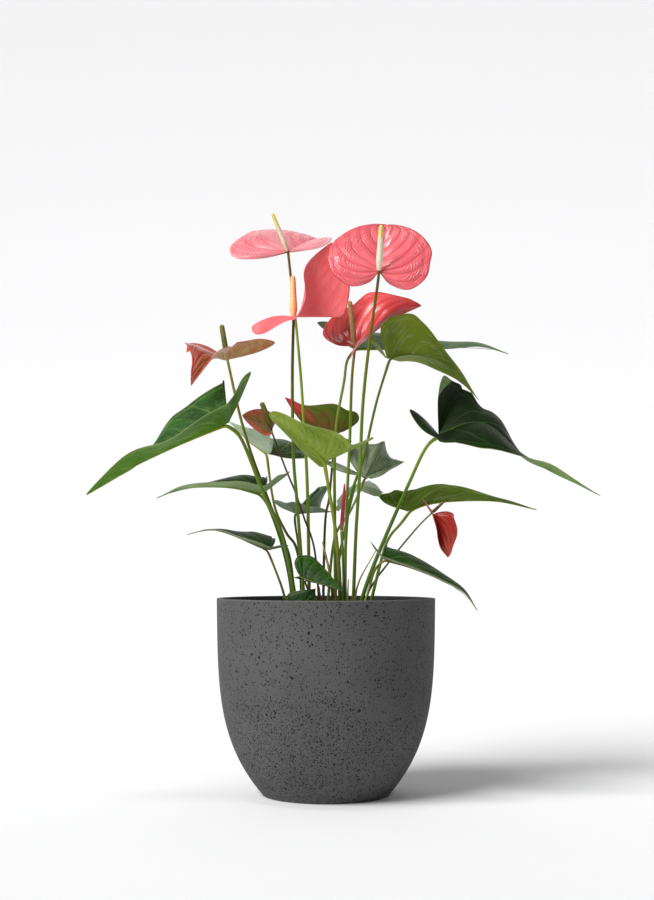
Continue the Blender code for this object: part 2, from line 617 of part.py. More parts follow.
def turned(name, profile, collection, material, segments):
    """A profile of radius and height, turned round the Z axis."""
    mesh = bpy.data.meshes.new(name)
    edges = [(i, i + 1) for i in range(len(profile) - 1)]
    mesh.from_pydata([(radius, 0.0, height) for radius, height in profile], edges, [])
    thing = add_object(name, mesh, collection, material)
    screw = thing.modifiers.new("Turn", "SCREW")
    screw.steps = segments
    screw.render_steps = segments
    screw.use_merge_vertices = True
    screw.merge_threshold = 1e-5
    screw.use_smooth_shade = True
    return thing


def pot_radius(height):
    share = height / POT_HEIGHT
    slow = POT_RIM_RADIUS - POT_FOOT_RADIUS - POT_BELLY
    return POT_FOOT_RADIUS + POT_BELLY * (1 - (1 - share) ** POT_BELLY_POWER) + slow * share


def pot_levels(low, high):
    return low + (high - low) * np.linspace(0, 1, POT_LEVELS) ** 1.5


def make_pot(collection):
    brink = POT_HEIGHT - POT_RIM_ROUNDING
    outer = [(pot_radius(z), z) for z in pot_levels(POT_FOOT_ROUNDING, brink)[::-1]]
    inner = [(pot_radius(z) - POT_WALL, z) for z in pot_levels(POT_FLOOR + POT_CORNER, brink)]
    profile = [(POT_RIM_RADIUS - POT_RIM_ROUNDING, POT_HEIGHT)] + outer
    profile += [(POT_FOOT_RADIUS - POT_FOOT_ROUNDING, 0.0), (0.0, 0.0)]
    inside = [(0.0, POT_FLOOR), (inner[0][0] - POT_CORNER, POT_FLOOR)] + inner
    inside += [(POT_RIM_RADIUS - POT_WALL + POT_RIM_ROUNDING, POT_HEIGHT)]
    material = principled("stone_composite", (0.11, 0.11, 0.115), 0.75)
    return turned("pot", profile + inside + profile[:1], collection, material, POT_SEGMENTS)


def soil_height(radius, angle):
    """The soil's top: a low crown with lumps from two crossing waves."""
    share = radius / POT_RIM_RADIUS
    lumps = math.sin(5 * angle + 6 * share) * math.cos(3 * angle - 8 * share)
    return SOIL_TOP - SOIL_CROWN * share**2 + SOIL_LUMP * share * lumps


def make_soil(collection):
    """Rings from the soil's foot up the pot's inner wall and over the lumpy top."""
    angle = np.linspace(0, 2 * np.pi, SOIL_SEGMENTS, endpoint=False)
    low = POT_FLOOR + SOIL_CORNER
    high = SOIL_TOP - SOIL_CROWN
    clearance = POT_WALL + TOUCH_GAP + POT_RIM_RADIUS * (1 - math.cos(math.pi / SOIL_SEGMENTS))
    rings = [[(pot_radius(low) - clearance - SOIL_CORNER, POT_FLOOR + TOUCH_GAP)] * SOIL_SEGMENTS]
    for level in low + (high - low) * np.linspace(0, 1, SOIL_LEVELS) ** 1.3:
        rings.append([(pot_radius(level) - clearance, level)] * SOIL_SEGMENTS)
    edge = pot_radius(SOIL_TOP) - clearance
    for share in np.linspace(1, 0.1, SOIL_RINGS + 1):
        rings.append([(edge * share, soil_height(edge * share, a)) for a in angle])
    radius, height = np.moveaxis(np.array(rings), 2, 0)
    points = np.stack([radius * np.cos(angle), radius * np.sin(angle), height], axis=-1)
    mesh = capped_rings("soil", points)
    return add_object("soil", mesh, collection, principled("soil", (0.045, 0.028, 0.018), 0.95))


def cut_holes(soil, stems, cutters):
    """A plain hole in the soil round each stem's foot."""
    for index, (path, radii) in enumerate(stems):
        below = unit(path[0] - path[1])
        slack = TOUCH_GAP / math.cos(math.pi / 6)
        route = np.vstack([path[0] + below * TOUCH_GAP, path[1:3]])
        mesh = tube_mesh("hole_%02d" % index, route, np.array(radii[:3]) + slack)
        hole = bpy.data.objects.new("hole_%02d" % index, mesh)
        hole.display_type = "WIRE"
        hole.hide_render = True
        cutters.objects.link(hole)
    drill = soil.modifiers.new("Holes", "BOOLEAN")
    drill.operation = "DIFFERENCE"
    drill.operand_type = "COLLECTION"
    drill.collection = cutters
    drill.solver = "MANIFOLD"


def main():
    clear_scene()
    plant = new_collection("potted_anthurium")
    cutters = new_collection("cutters")
    make_pot(plant)
    soil = make_soil(plant)
    stems = [make_leaf(name, leaf, plant) for name, leaf in LEAVES.items()]
    stems += [make_bloom(name, bloom, plant) for name, bloom in BLOOMS.items()]
    stems.append(make_bud(plant))
    for name, (path, radius, color) in SHEATHS.items():
        stems.append(make_sheath(name, path, radius, color, plant))
    cut_holes(soil, stems, cutters)


main()
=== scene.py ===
import math

import bpy
import numpy as np
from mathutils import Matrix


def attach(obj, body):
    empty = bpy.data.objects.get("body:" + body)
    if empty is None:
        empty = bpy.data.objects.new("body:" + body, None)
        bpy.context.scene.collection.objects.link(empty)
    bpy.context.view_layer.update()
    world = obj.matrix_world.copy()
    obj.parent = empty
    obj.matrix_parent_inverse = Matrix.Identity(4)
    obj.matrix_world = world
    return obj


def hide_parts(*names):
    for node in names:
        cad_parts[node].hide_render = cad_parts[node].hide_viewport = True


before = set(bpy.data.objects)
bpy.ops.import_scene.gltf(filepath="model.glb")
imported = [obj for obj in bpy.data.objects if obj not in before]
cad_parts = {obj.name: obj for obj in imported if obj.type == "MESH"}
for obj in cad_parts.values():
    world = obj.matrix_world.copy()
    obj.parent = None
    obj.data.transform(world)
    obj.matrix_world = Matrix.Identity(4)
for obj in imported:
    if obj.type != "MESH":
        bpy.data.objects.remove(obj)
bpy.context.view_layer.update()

# A potted anthurium. Metres, +Z up, the origin at the centre of the pot's foot, the front towards -Y.
# The plant's points are written in millimetres, and mm turns them into metres.
mm = 0.001
stemFoot = 142 * mm      # height of the lower ends of stems and stalks, down in their holes in the soil
touchGap = 0.3 * mm      # left free between pieces that would touch
fullTurn = 6.283         # one turn in radians, near enough for twists and ripples
stemFlare = 1.25         # thickness of a stem at its foot and at its top, as shares of its radius
stemTaper = 0.9
stemThin = 0.88          # the stems seen are this share of their solids' thickness


# A colour written as six digits, turned into light: each share c becomes ((c + 0.055) / 1.055) to the
# power 2.4.
def paint(code):
    shares = [int(code[place:place + 2], 16) / 255 for place in (0, 2, 4)]
    return tuple(((share + 0.055) / 1.055) ** 2.4 for share in shares) + (1.0,)


# One output of a node in a material, which can be added, multiplied and so on like a number.
class Signal:
    def __init__(self, tree, socket=None):
        self.tree = tree
        self.socket = socket

    # Any node at all: its settings are set first, then its sockets, and one of its outputs comes back.
    def node(self, kind, settings=None, sockets=None, output=0):
        made = self.tree.nodes.new(kind)
        for name, value in (settings or {}).items():
            setattr(made, name, value)
        for place, value in (sockets or {}).items():
            if isinstance(value, Signal):
                self.tree.links.new(value.socket, made.inputs[place])
            else:
                made.inputs[place].default_value = value
        return Signal(self.tree, made.outputs[output])

    # One step of arithmetic on one or two numbers.
    def maths(self, operation, *terms):
        return self.node("ShaderNodeMath", {"operation": operation}, dict(enumerate(terms)))

    def __add__(self, other):
        return self.maths("ADD", self, other)

    def __sub__(self, other):
        return self.maths("SUBTRACT", self, other)

    def __rsub__(self, other):
        return self.maths("SUBTRACT", other, self)

    def __mul__(self, other):
        return self.maths("MULTIPLY", self, other)

    def __truediv__(self, other):
        return self.maths("DIVIDE", self, other)

    __radd__ = __add__
    __rmul__ = __mul__

    # The value without its sign.
    def size(self):
        return self.maths("ABSOLUTE", self)

    # The sine of the value as an angle in radians.
    def sine(self):
        return self.maths("SINE", self)

    # How far the value is from the nearest whole number, from 0 to a half.
    def fromWhole(self):
        return self.maths("PINGPONG", self, 0.5)

    # The share of the way from low to high, eased at both ends: 3 s squared less 2 s cubed.
    def step(self, low, high):
        settings = {"interpolation_type": "SMOOTHSTEP"}
        return self.node("ShaderNodeMapRange", settings, {0: self, 1: low, 2: high})

    # The first colour where this share is 0 and the second where it is 1.
    def mix(self, first, second):
        return self.node("ShaderNodeMix", {"data_type": "RGBA"}, {0: self, 6: first, 7: second}, 2)

    # The three numbers of a place.
    def parts(self):
        made = self.node("ShaderNodeSeparateXYZ", sockets={0: self})
        return [Signal(self.tree, socket) for socket in made.socket.node.outputs]

    # A place made longer or shorter along each axis.
    def scaled(self, sizes):
        return self.node("ShaderNodeVectorMath", {"operation": "MULTIPLY"}, {0: self, 1: sizes})

    # Cloudy noise, about 0.5 on average, with `scale` clouds in each unit of the place.
    def clouds(self, scale, detail=3.0, roughness=0.55):
        sockets = {"Vector": self, "Scale": scale, "Detail": detail, "Roughness": roughness}
        return self.node("ShaderNodeTexNoise", sockets=sockets)

    # Distance to the nearest of scattered points, or another output of the same scatter.
    def scatter(self, scale, output="Distance", feature="F1"):
        sockets = {"Vector": self, "Scale": scale}
        return self.node("ShaderNodeTexVoronoi", {"feature": feature}, sockets, output)


# A new material with the shader's even values by socket name. Back come the material and the place on the
# piece, in metres, from which its other nodes are drawn.
def newFinish(name, values):
    finish = bpy.data.materials.new(name)
    finish.use_nodes = True
    shader = finish.node_tree.nodes["Principled BSDF"]
    for socket, value in values.items():
        shader.inputs[socket].default_value = value
    return finish, Signal(finish.node_tree).node("ShaderNodeTexCoord", output="Object")


# Joins the colours, the roughness and the relief to the material's shader. The surface rises where the relief
# is high, by up to `depth` metres.
def dressed(finish, skin, roughness, relief=None, depth=0.0, strength=1.0):
    joined = {"Base Color": skin, "Roughness": roughness}
    if relief is not None:
        sockets = {"Strength": strength, "Distance": depth, "Height": relief}
        joined["Normal"] = relief.node("ShaderNodeBump", sockets=sockets)
    shader = finish.node_tree.nodes["Principled BSDF"]
    for socket, signal in joined.items():
        finish.node_tree.links.new(signal.socket, shader.inputs[socket])
    return finish


# Colours laid one over another: each layer is a share from 0 to 1 and the colour that it brings.
def layered(skin, *layers):
    for share, colour in layers:
        skin = share.mix(skin, paint(colour))
    return skin


# The two shares of the piece's own map: across or round it, and along it.
def surfacePlace(place):
    return place.node("ShaderNodeTexCoord", output="UV").parts()[:2]


# A value that the piece carries at each of its points.
def pointMark(place, label):
    return place.node("ShaderNodeAttribute", {"attribute_name": label}, output="Fac")


# Rows set unevenly, so that the side veins don't stand at even distances: row + 0.012 x sine(19 x row).
def unevenRow(row, sine):
    return row + sine(row * 19) * 0.012


# Each vector divided by its own length.
def unitRows(vectors):
    return vectors / np.maximum(np.linalg.norm(vectors, axis=-1, keepdims=True), 1e-12)


# 3 s squared less 2 s cubed, held between 0 and 1.
def eased(share):
    share = np.clip(share, 0, 1)
    return share * share * (3 - 2 * share)


# Points given in millimetres, in metres.
def millimetres(points):
    return np.array(points, float) * mm


# Even angles once round. The full turn is left out, since it is the first angle again.
def onceRound(count):
    return np.linspace(0, 2 * np.pi, count, endpoint=False)


# Points on circles round the pot's axis: radius x cosine, radius x sine, height.
def onCircles(radius, angle, height):
    return np.stack(np.broadcast_arrays(radius * np.cos(angle), radius * np.sin(angle), height), axis=-1)


# Even samples of a Catmull-Rom curve, which goes through every given point.
def smoothPath(points, count):
    points = np.asarray(points, float)
    ends = np.vstack([2 * points[0] - points[1], points, 2 * points[-1] - points[-2]])
    place = np.linspace(0, len(points) - 1, count)
    first = np.minimum(place.astype(int), len(points) - 2)
    t = (place - first)[:, None]
    a, b, c, d = (ends[first + step] for step in range(4))
    return 0.5 * (2 * b + (c - a) * t + (2 * a - 5 * b + 4 * c - d) * t**2 + (3 * b - a - 3 * c + d) * t**3)


# The same curve with its samples at even distances, one every `spacing`.
def evenPath(points, spacing):
    fine = smoothPath(points, 20 * len(points))
    length = np.concatenate([[0], np.cumsum(np.linalg.norm(np.diff(fine, axis=0), axis=1))])
    place = np.linspace(0, length[-1], max(4, int(round(length[-1] / spacing)) + 1))
    return np.stack([np.interp(place, length, fine[:, axis]) for axis in range(3)], axis=1)


# Puts one piece into the scene from a grid of points, rows by columns. Each square between four neighbours
# is two triangles; points that coincide become one, and triangles with no area go. A closed grid joins its
# last column to its first, and a capped one is closed at both ends. `shares` gives each grid place its UV
# pair, and `marks` holds named values of the points.
def addGrid(name, grid, finish, nodes, closed=True, shares=None, marks=None, capped=True):
    if capped:
        grid = np.concatenate([np.broadcast_to(grid[:1].mean(axis=1, keepdims=True), grid[:1].shape), grid,
                               np.broadcast_to(grid[-1:].mean(axis=1, keepdims=True), grid[-1:].shape)])
        if shares is not None:
            shares = np.concatenate([shares[:1], shares, shares[-1:]])
    rows, columns = grid.shape[:2]
    across = columns if closed else columns - 1
    down, over = np.meshgrid(np.arange(rows - 1), np.arange(across), indexing="ij")
    steps = np.array([[0, 0], [0, 1], [1, 1], [0, 0], [1, 1], [1, 0]])
    row = down[..., None] + steps[:, 0]
    column = over[..., None] + steps[:, 1]
    if shares is None:
        u, v = np.meshgrid(np.linspace(0, 1, across + 1), np.linspace(0, 1, rows))
        shares = np.stack([u, v], axis=-1)
    pairs = shares[row, np.minimum(column, shares.shape[1] - 1)].reshape(-1, 3, 2)
    corners = (row * columns + column % columns).reshape(-1, 3)
    spots, same = np.unique(np.round(grid.reshape(-1, 3), 8), axis=0, return_inverse=True)
    corners = same.reshape(-1)[corners]
    solid = (corners != np.roll(corners, 1, axis=1)).all(axis=1)
    corners, pairs = corners[solid], pairs[solid]
    values = {}
    for label, value in (marks or {}).items():
        values[label] = np.zeros(len(spots))
        values[label][same.reshape(-1)] = value.reshape(-1)
    addTriangles(name, spots, corners, finish, nodes, pairs, values)


# Puts triangles into the scene as one piece, turned so that they face outwards.
def addTriangles(name, spots, corners, finish, nodes, pairs=None, values=None):
    a, b, c = (spots[corners[:, place]] for place in range(3))
    if np.einsum("ij,ij->", np.cross(a, b), c) < 0:
        corners = corners[:, ::-1]
        pairs = None if pairs is None else pairs[:, ::-1]
    mesh = bpy.data.meshes.new(name)
    mesh.vertices.add(len(spots))
    mesh.vertices.foreach_set("co", spots.ravel())
    mesh.loops.add(corners.size)
    mesh.loops.foreach_set("vertex_index", corners.ravel())
    mesh.polygons.add(len(corners))
    mesh.polygons.foreach_set("loop_start", np.arange(0, corners.size, 3))
    mesh.polygons.foreach_set("use_smooth", np.ones(len(corners), bool))
    mesh.update(calc_edges=True)
    if pairs is not None:
        mesh.uv_layers.new(name="UVMap").data.foreach_set("uv", pairs.ravel())
    for label, value in (values or {}).items():
        mesh.attributes.new(label, "FLOAT", "POINT").data.foreach_set("value", value.astype(np.float32))
    mesh.validate()
    mesh.materials.append(finish)
    piece = bpy.data.objects.new(name, mesh)
    bpy.context.scene.collection.objects.link(piece)
    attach(piece, "root")
    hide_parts(*nodes)


# Rings square to a path: each ring's points stand off the path by `radius`, a table of rings by sides.
# The ring starts from whichever of three directions the path leans least towards, so it never twists.
def carriedRings(path, radius):
    along = unitRows(np.gradient(path, axis=0))
    axes = np.array([(1, 0.15, 0.1), (0.1, 1, 0.15), (0.15, 0.1, 1)])
    lean = np.abs(along @ axes.T).max(axis=0)
    first = unitRows(np.cross(along, axes[lean.argmin()]))
    second = np.cross(along, first)
    turn = onceRound(radius.shape[1])[None, :, None]
    outwards = np.cos(turn) * first[:, None] + np.sin(turn) * second[:, None]
    return path[:, None] + radius[..., None] * outwards


# The path with its first point moved along its first step, down to the depth of the stems' feet.
def footExtended(path):
    path = np.array(path, float)
    step = path[0] - path[1]
    path[0] = path[1] + step * (path[1][2] - stemFoot) / (path[1][2] - path[0][2])
    return path


# The blades. A blade is a heart-shaped sheet given by real points and vectors:
# base, rib and tip are the midrib's points; left and right reach from the midrib to the widest edge, seen
# with the tip ahead; leftEnd is that reach near the tip, leftBase at the base, leftBack in the basal lobe;
# turn is the share of the midrib where the widest edge lies; lobeLeft and lobeRight reach back from the base;
# full under 1 makes a blunt blade; wave and waves are the edge's waves; quilt is how far the skin bulges
# between its side veins, in millimetres.
blade = {
    "rows": 96,
    "columns": 26,
    "edgeShare": 0.4,        # thickness at the edge as a share of the middle's
    "twisted": 0.75,         # share of the midrib from which the reach near the tip holds
    "arch": 0.05,            # how high each half arches, as a share of its reach
    "sideVeins": 9,
    "edgeVein": 0.88,        # where the vein that follows the edge runs, as a share of the reach
    "groove": 0.12,          # depth of the midrib's groove in millimetres
}

# Outlines of half a blade, from the notch round the lobe to the tip: along the midrib, across, and the
# place on the midrib where the side vein starts. Along is 1 at the tip, across is 1 at the widest place.
lobeOutline = ((0.0, 0.0, 0.0), (-0.62, 0.16, 0.0), (-1.0, 0.5, 0.0), (-0.62, 0.86, 0.0), (0.1, 1.0, 0.02))
leafOutline = lobeOutline + (
    (0.3, 0.9, 0.12), (0.5, 0.68, 0.3), (0.7, 0.4, 0.52), (0.86, 0.16, 0.74), (0.94, 0.06, 0.88),
    (1.0, 0.0, 1.0),
)
spatheOutline = lobeOutline + (
    (0.36, 0.94, 0.12), (0.6, 0.72, 0.32), (0.8, 0.44, 0.56), (0.92, 0.2, 0.76), (0.97, 0.08, 0.9),
    (1.0, 0.0, 1.0),
)

# Thickness in the middle, in millimetres; bend is how far a side vein curves towards the tip on its way out.
bladeKinds = {
    "leaf": {"outline": leafOutline, "thickness": 0.8, "bend": 0.07},
    "spathe": {"outline": spatheOutline, "thickness": 0.9, "bend": 0.2},
}


# The midrib's place at each share of its length, read off a smooth curve through its points.
def alongRib(shape, share):
    given = [shape["base"], *shape.get("rib", ()), shape["tip"]]
    if len(given) == 2:
        given.insert(1, tuple((np.array(given[0]) + np.array(given[1])) / 2))
    rib = evenPath(millimetres(given), 1 * mm)
    place = np.clip(share, 0, 1) * (len(rib) - 1)
    return np.stack([np.interp(place, np.arange(len(rib)), rib[:, axis]) for axis in range(3)], axis=-1)


# The way from the midrib to the edge: it eases from the reach at the base to the main one at `turn`, from
# there to the one near the tip, and behind the base to the one in the lobe.
def reachOf(shape, side, ahead, behind):
    main, turn = shape[side], shape.get("turn", 0.15)
    base = shape.get(side + "Base", main)
    given = main, shape.get(side + "End", main), base, shape.get(side + "Back", base)
    main, end, base, back = (millimetres(way) for way in given)
    way = base + (main - base) * eased(ahead / turn)
    way = way + (end - main) * eased((ahead - turn) / (blade["twisted"] - turn))
    return way + (back - base) * eased(behind)


# The way that the midrib runs: from its place a little behind a share to its place a little ahead.
def ribDirection(shape, ahead):
    return alongRib(shape, ahead + 0.02) - alongRib(shape, ahead - 0.02)


# The blade's upper side at the midrib, square to the rib and to the line between both edges.
def ribNormal(shape, ahead):
    share = np.asarray(ahead, float)
    spread = reachOf(shape, "left", share[..., None], 0.0) - reachOf(shape, "right", share[..., None], 0.0)
    return unitRows(np.cross(ribDirection(shape, share), spread))


# One half's sheet, rows from the notch to the tip and columns from the midrib to the edge. A point stands at
# rib(along) + lobe x behind + reach x across + upward x lift, where the lift is the edge's wave, a light
# arch, the skin's bulges between the side veins, and the grooves of the midrib and of the edge's vein.
def halfBlade(shape, side, kind):
    edge = smoothPath(kind["outline"], blade["rows"] + 1)
    alongEdge, acrossEdge, root = (edge[:, column, None] for column in range(3))
    root = np.clip(root, 0, None)
    fuller = np.where(alongEdge > 0.1, shape.get("full", 1.0), 1.0)
    acrossEdge = np.clip(acrossEdge, 0, None) ** fuller
    t = np.linspace(0, 1, blade["columns"] + 1)[None, :]
    row = np.linspace(0, 1, blade["rows"] + 1)[:, None]
    along = root + (alongEdge - root) * t
    across = acrossEdge * t
    ahead = np.clip(along, 0, 1)
    behind = np.clip(-along, 0, None)[..., None]
    way = reachOf(shape, side, ahead[..., None], behind)
    upward = unitRows(np.cross(ribDirection(shape, ahead), way) * (1 if side == "left" else -1))
    ridge = ribNormal(shape, root[:, 0])[:, None]
    spread = eased(t / 0.15)[..., None]
    upward = unitRows(upward * spread + ridge * (1 - spread))
    width = np.linalg.norm(millimetres(shape[side]))
    start = 0.6 if side == "left" else 2.1       # the two edges wave out of step
    ripple = np.sin(shape.get("waves", 2.3) * np.pi * alongEdge + start) * t**2 * acrossEdge
    arch = blade["arch"] * 4 * t * (1 - t) * acrossEdge
    phase = blade["sideVeins"] * (unevenRow(row, np.sin) - kind["bend"] * t**2)
    bulge = np.abs(np.sin(np.pi * phase)) ** 0.8 * eased(t / 0.3) * (1 - eased((t - 0.78) / 0.1))
    rim = np.exp(-((t - blade["edgeVein"]) / 0.025) ** 2)
    relief = shape.get("quilt", 0.3) * (bulge - 0.5 * rim) * np.sqrt(acrossEdge)
    relief = relief - blade["groove"] * np.exp(-(t / 0.03) ** 2)
    lift = (shape.get("wave", 0.0) * ripple + arch) * width + relief * mm
    lobe = millimetres(shape["lobe" + side.capitalize()])
    sheet = alongRib(shape, ahead) + lobe * behind + way * across[..., None] + upward * lift[..., None]
    return sheet, upward


# The whole blade as one closed skin: each row is a ring over the upper face and back under the lower one.
# The thickness at a share t of the way out is 1 - (1 - edgeShare) x t cubed of the middle's.
def addBlade(name, shape, kindName, finish, node):
    kind = bladeKinds[kindName]
    thickness = shape.get("thickness", kind["thickness"])
    left, leftUp = halfBlade(shape, "left", kind)
    right, rightUp = halfBlade(shape, "right", kind)
    sheet = np.concatenate([left[:, :0:-1], right], axis=1)
    upward = np.concatenate([leftUp[:, :0:-1], rightUp], axis=1)
    columns = blade["columns"]
    across = np.linspace(-1, 1, 2 * columns + 1)[None, :]
    height = np.broadcast_to(1 - (1 - blade["edgeShare"]) * np.abs(across) ** 3, sheet.shape[:2])
    half = upward * (thickness * mm / 2 * height)[..., None]
    upperFace, lowerFace = sheet + half, sheet - half
    for face in (upperFace, lowerFace):
        face[0] = face[0, columns]
        face[-1] = sheet[-1, columns]
    grid = np.concatenate([upperFace, lowerFace[:, ::-1]], axis=1)
    row = np.broadcast_to(np.linspace(0, 1, len(grid))[:, None], sheet.shape[:2])
    share = np.stack([np.broadcast_to(0.5 + 0.5 * across, row.shape), row], axis=-1)
    shares = np.concatenate([share, share[:, ::-1]], axis=1)
    marks = {"upper": np.concatenate([np.ones(row.shape), np.zeros(row.shape)], axis=1)}
    addGrid(name, grid, finish, [node], shares=shares, marks=marks, capped=False)


# Lines of the side veins, the midrib and the edge's vein, each from 0 to 1, and how far from the midrib.
# A side vein runs where row - bend x t squared is a whole number of veins, t being the share of the way out.
def bladeLines(place, bend):
    u, row = surfacePlace(place)
    t = (u * 2 - 1).size()
    row = unevenRow(row, Signal.sine)
    stray = (place.clouds(70, 2) - 0.5) * 0.03
    between = ((row - t * t * bend + stray) * blade["sideVeins"]).fromWhole()
    side = between.step(0.07, 0.0) * t.step(0.95, 0.8)
    rib = t.step(0.035, 0.008)
    edge = (t - blade["edgeVein"] + stray).size().step(0.022, 0.004)
    return t, row, between, side, rib, edge


# Cloudy streaks that follow the side veins: noise in t and in row - bend x t squared, drawn out along t.
def veinStreaks(t, row, bend, across):
    place = t.node("ShaderNodeCombineXYZ", sockets={0: t * 2.5, 1: (row - t * t * bend) * across})
    return place.clouds(1.0, 4.0, 0.65)


# Leaf skin. The upper face is a cloudy deep green with paler side veins and a fine net; the lower face is
# paler and duller, with the veins standing out; both have pale and dark streaks, and the edge is a thin line.
def leafFinish(name, leaf):
    values = {"Specular IOR Level": 0.15, "Coat Weight": leaf.get("wax", 0.03), "Coat Roughness": 0.25}
    finish, place = newFinish(name, values)
    bend = bladeKinds["leaf"]["bend"]
    t, row, between, side, rib, edge = bladeLines(place, bend)
    upper = pointMark(place, "upper")
    soft = place.clouds(26, 3).step(0.32, 0.68)
    fine = place.clouds(520, 4, 0.7)
    streak = veinStreaks(t, row, bend, 26)
    net = place.scatter(260, feature="DISTANCE_TO_EDGE").step(0.09, 0.0)
    pale, streaks = leaf["vein"], leaf.get("streaks", 0.14)
    top = layered(paint(leaf["shade"]), (soft, leaf["top"]), (side * leaf.get("veinShare", 0.3), pale),
                  (net * 0.1, pale), (edge * 0.3, pale), (rib * 0.8, pale))
    back = layered(paint(leaf["backShade"]), (soft, leaf["back"]), (side * 0.4, pale),
                   (net * 0.12, leaf["backShade"]), (edge * 0.45, pale), (rib * 0.8, pale))
    skin = layered(upper.mix(back, top), (streak.step(0.5, 0.64) * streaks * (1 - upper * 0.4), pale),
                   (streak.step(0.46, 0.34) * streaks * 1.4, leaf["shade"]), ((fine - 0.5) * 0.3, "0c1a08"),
                   (t.step(0.985, 1.0), "a8b070"))
    rough = 0.55 - upper * 0.12 + (fine - 0.5) * 0.2
    standing = (0.5 - upper) * side * 1.2 + fine * 0.25 - net * 0.2 + between * 0.5
    return dressed(finish, skin, rough, standing, 0.5 * mm, 0.7)


# Spathe skin: waxy, with painted shade in the folds along its side veins and in the small wrinkles across
# them like a ladder's rungs, both painted in the deeper colour; pale vein lines and marbling, an aged middle
# that spreads from the midrib, a left lobe and a tip that may be of other colours, and a rim of its own.
def spatheFinish(name, look):
    values = {"Specular IOR Level": 0.36, "Coat Weight": look.get("wax", 0.35), "Coat Roughness": 0.12}
    finish, place = newFinish(name, values)
    bend = bladeKinds["spathe"]["bend"]
    t, row, between, side, rib, edge = bladeLines(place, bend)
    upper = pointMark(place, "upper")
    deep, vein, ladder = look["deep"], look["vein"], look.get("ladder", 0.6)
    soft = place.clouds(45, 3).step(0.3, 0.7)
    streak = veinStreaks(t, row, bend, 60)
    blotch = veinStreaks(t, row, bend, 34).step(0.44, 0.6)
    marble = veinStreaks(t, row, bend, 48).step(0.52, 0.6)
    rungs = t * 17 + place.clouds(120, 2) * 3
    creaseShade = rungs.fromWhole().step(0.3, 0.05) * between.step(0.05, 0.35) * t.step(0.35, 0.7)
    aged = ((1 - t) * 0.8 + (place.clouds(60, 3) - 0.5) * 1.3).step(0.15, 0.6)
    lines = side * 0.7 + (t * 15 + row * 60).fromWhole().step(0.12, 0.0) * t.step(0.3, 0.7) * 0.3
    lobed = row.step(0.46, 0.3) * surfacePlace(place)[0].step(0.52, 0.48)
    lobeShare = look.get("lobeShare", 0.0)
    # Painted shade: the upper face takes the deep colour along the grooves of its side veins and in the
    # wrinkles.
    face = layered(paint(deep), (between.step(0.0, 0.3) * 0.45 + soft * 0.35 + 0.2, look["face"]),
                   (creaseShade * 0.3 * ladder, deep))
    back = layered(paint(look.get("backShade", look["back"])), (soft, look["back"]))
    skin = layered(upper.mix(back, face), (aged * look.get("age", 0.0), look.get("heart", deep)),
                   (lines * look.get("veinShare", 0.3), vein), (rib * look.get("ribShare", 0.5), vein),
                   (marble * look.get("marble", 0.0), vein), (lobed * lobeShare, look.get("lobe", deep)),
                   (blotch * lobed * look.get("mottle", 0.0), "5a1a12"), ((streak - 0.5) * 0.5, deep),
                   (row.step(0.55, 0.8) * look.get("pointShare", 0.0), look.get("point", deep)),
                   (t.step(1 - look.get("rimWidth", 0.04), 1.0) * look.get("rimShare", 0.8), look["rim"]))
    dull = (streak - 0.5) * 0.2 + (1 - upper) * 0.15 + lobed * lobeShare * 0.35 + look.get("dull", 0.3)
    waves = (rungs * fullTurn).sine() * between.step(0.02, 0.4) * t.step(0.3, 0.75)
    folds = (upper - 0.5) * (between * 2.5 - side - edge * 0.6)
    standing = folds + waves * 0.3 * ladder + streak * 0.3
    return dressed(finish, skin, dull, standing, 0.8 * mm * look.get("relief", 1.0), 0.8)


# Stem skin: one colour at the foot and another at the top, with fine streaks along it and faint specks.
# The fresh green or brown of the top starts at `turn`, a share of the length.
def stemFinish(name, low, high, turn=(0.3, 0.8)):
    values = {"Specular IOR Level": 0.25, "Coat Weight": 0.05, "Coat Roughness": 0.3}
    finish, place = newFinish(name, values)
    row = surfacePlace(place)[1]
    streak = place.scaled((900, 900, 40)).clouds(1.0, 3, 0.6)
    speck = place.clouds(900, 3, 0.7).step(0.62, 0.75)
    fresh = (row + (place.clouds(30, 2) - 0.5) * 0.3).step(*turn)
    dark = streak.step(0.35, 0.7) * 0.2
    skin = layered(paint(low), (fresh, high), (dark, "2c3010"), (speck * 0.2, "c0c070"))
    return dressed(finish, skin, 0.42 + (streak - 0.5) * 0.3, streak + speck * 0.4, 0.15 * mm, 0.6)


# The path with its corners rounded: each point becomes the mean of its neighbours, `times` times over.
def rounded(path, times):
    for turn in range(times):
        path = np.concatenate([path[:1], (path[:-2] + 2 * path[1:-1] + path[2:]) / 4, path[-1:]])
    return path


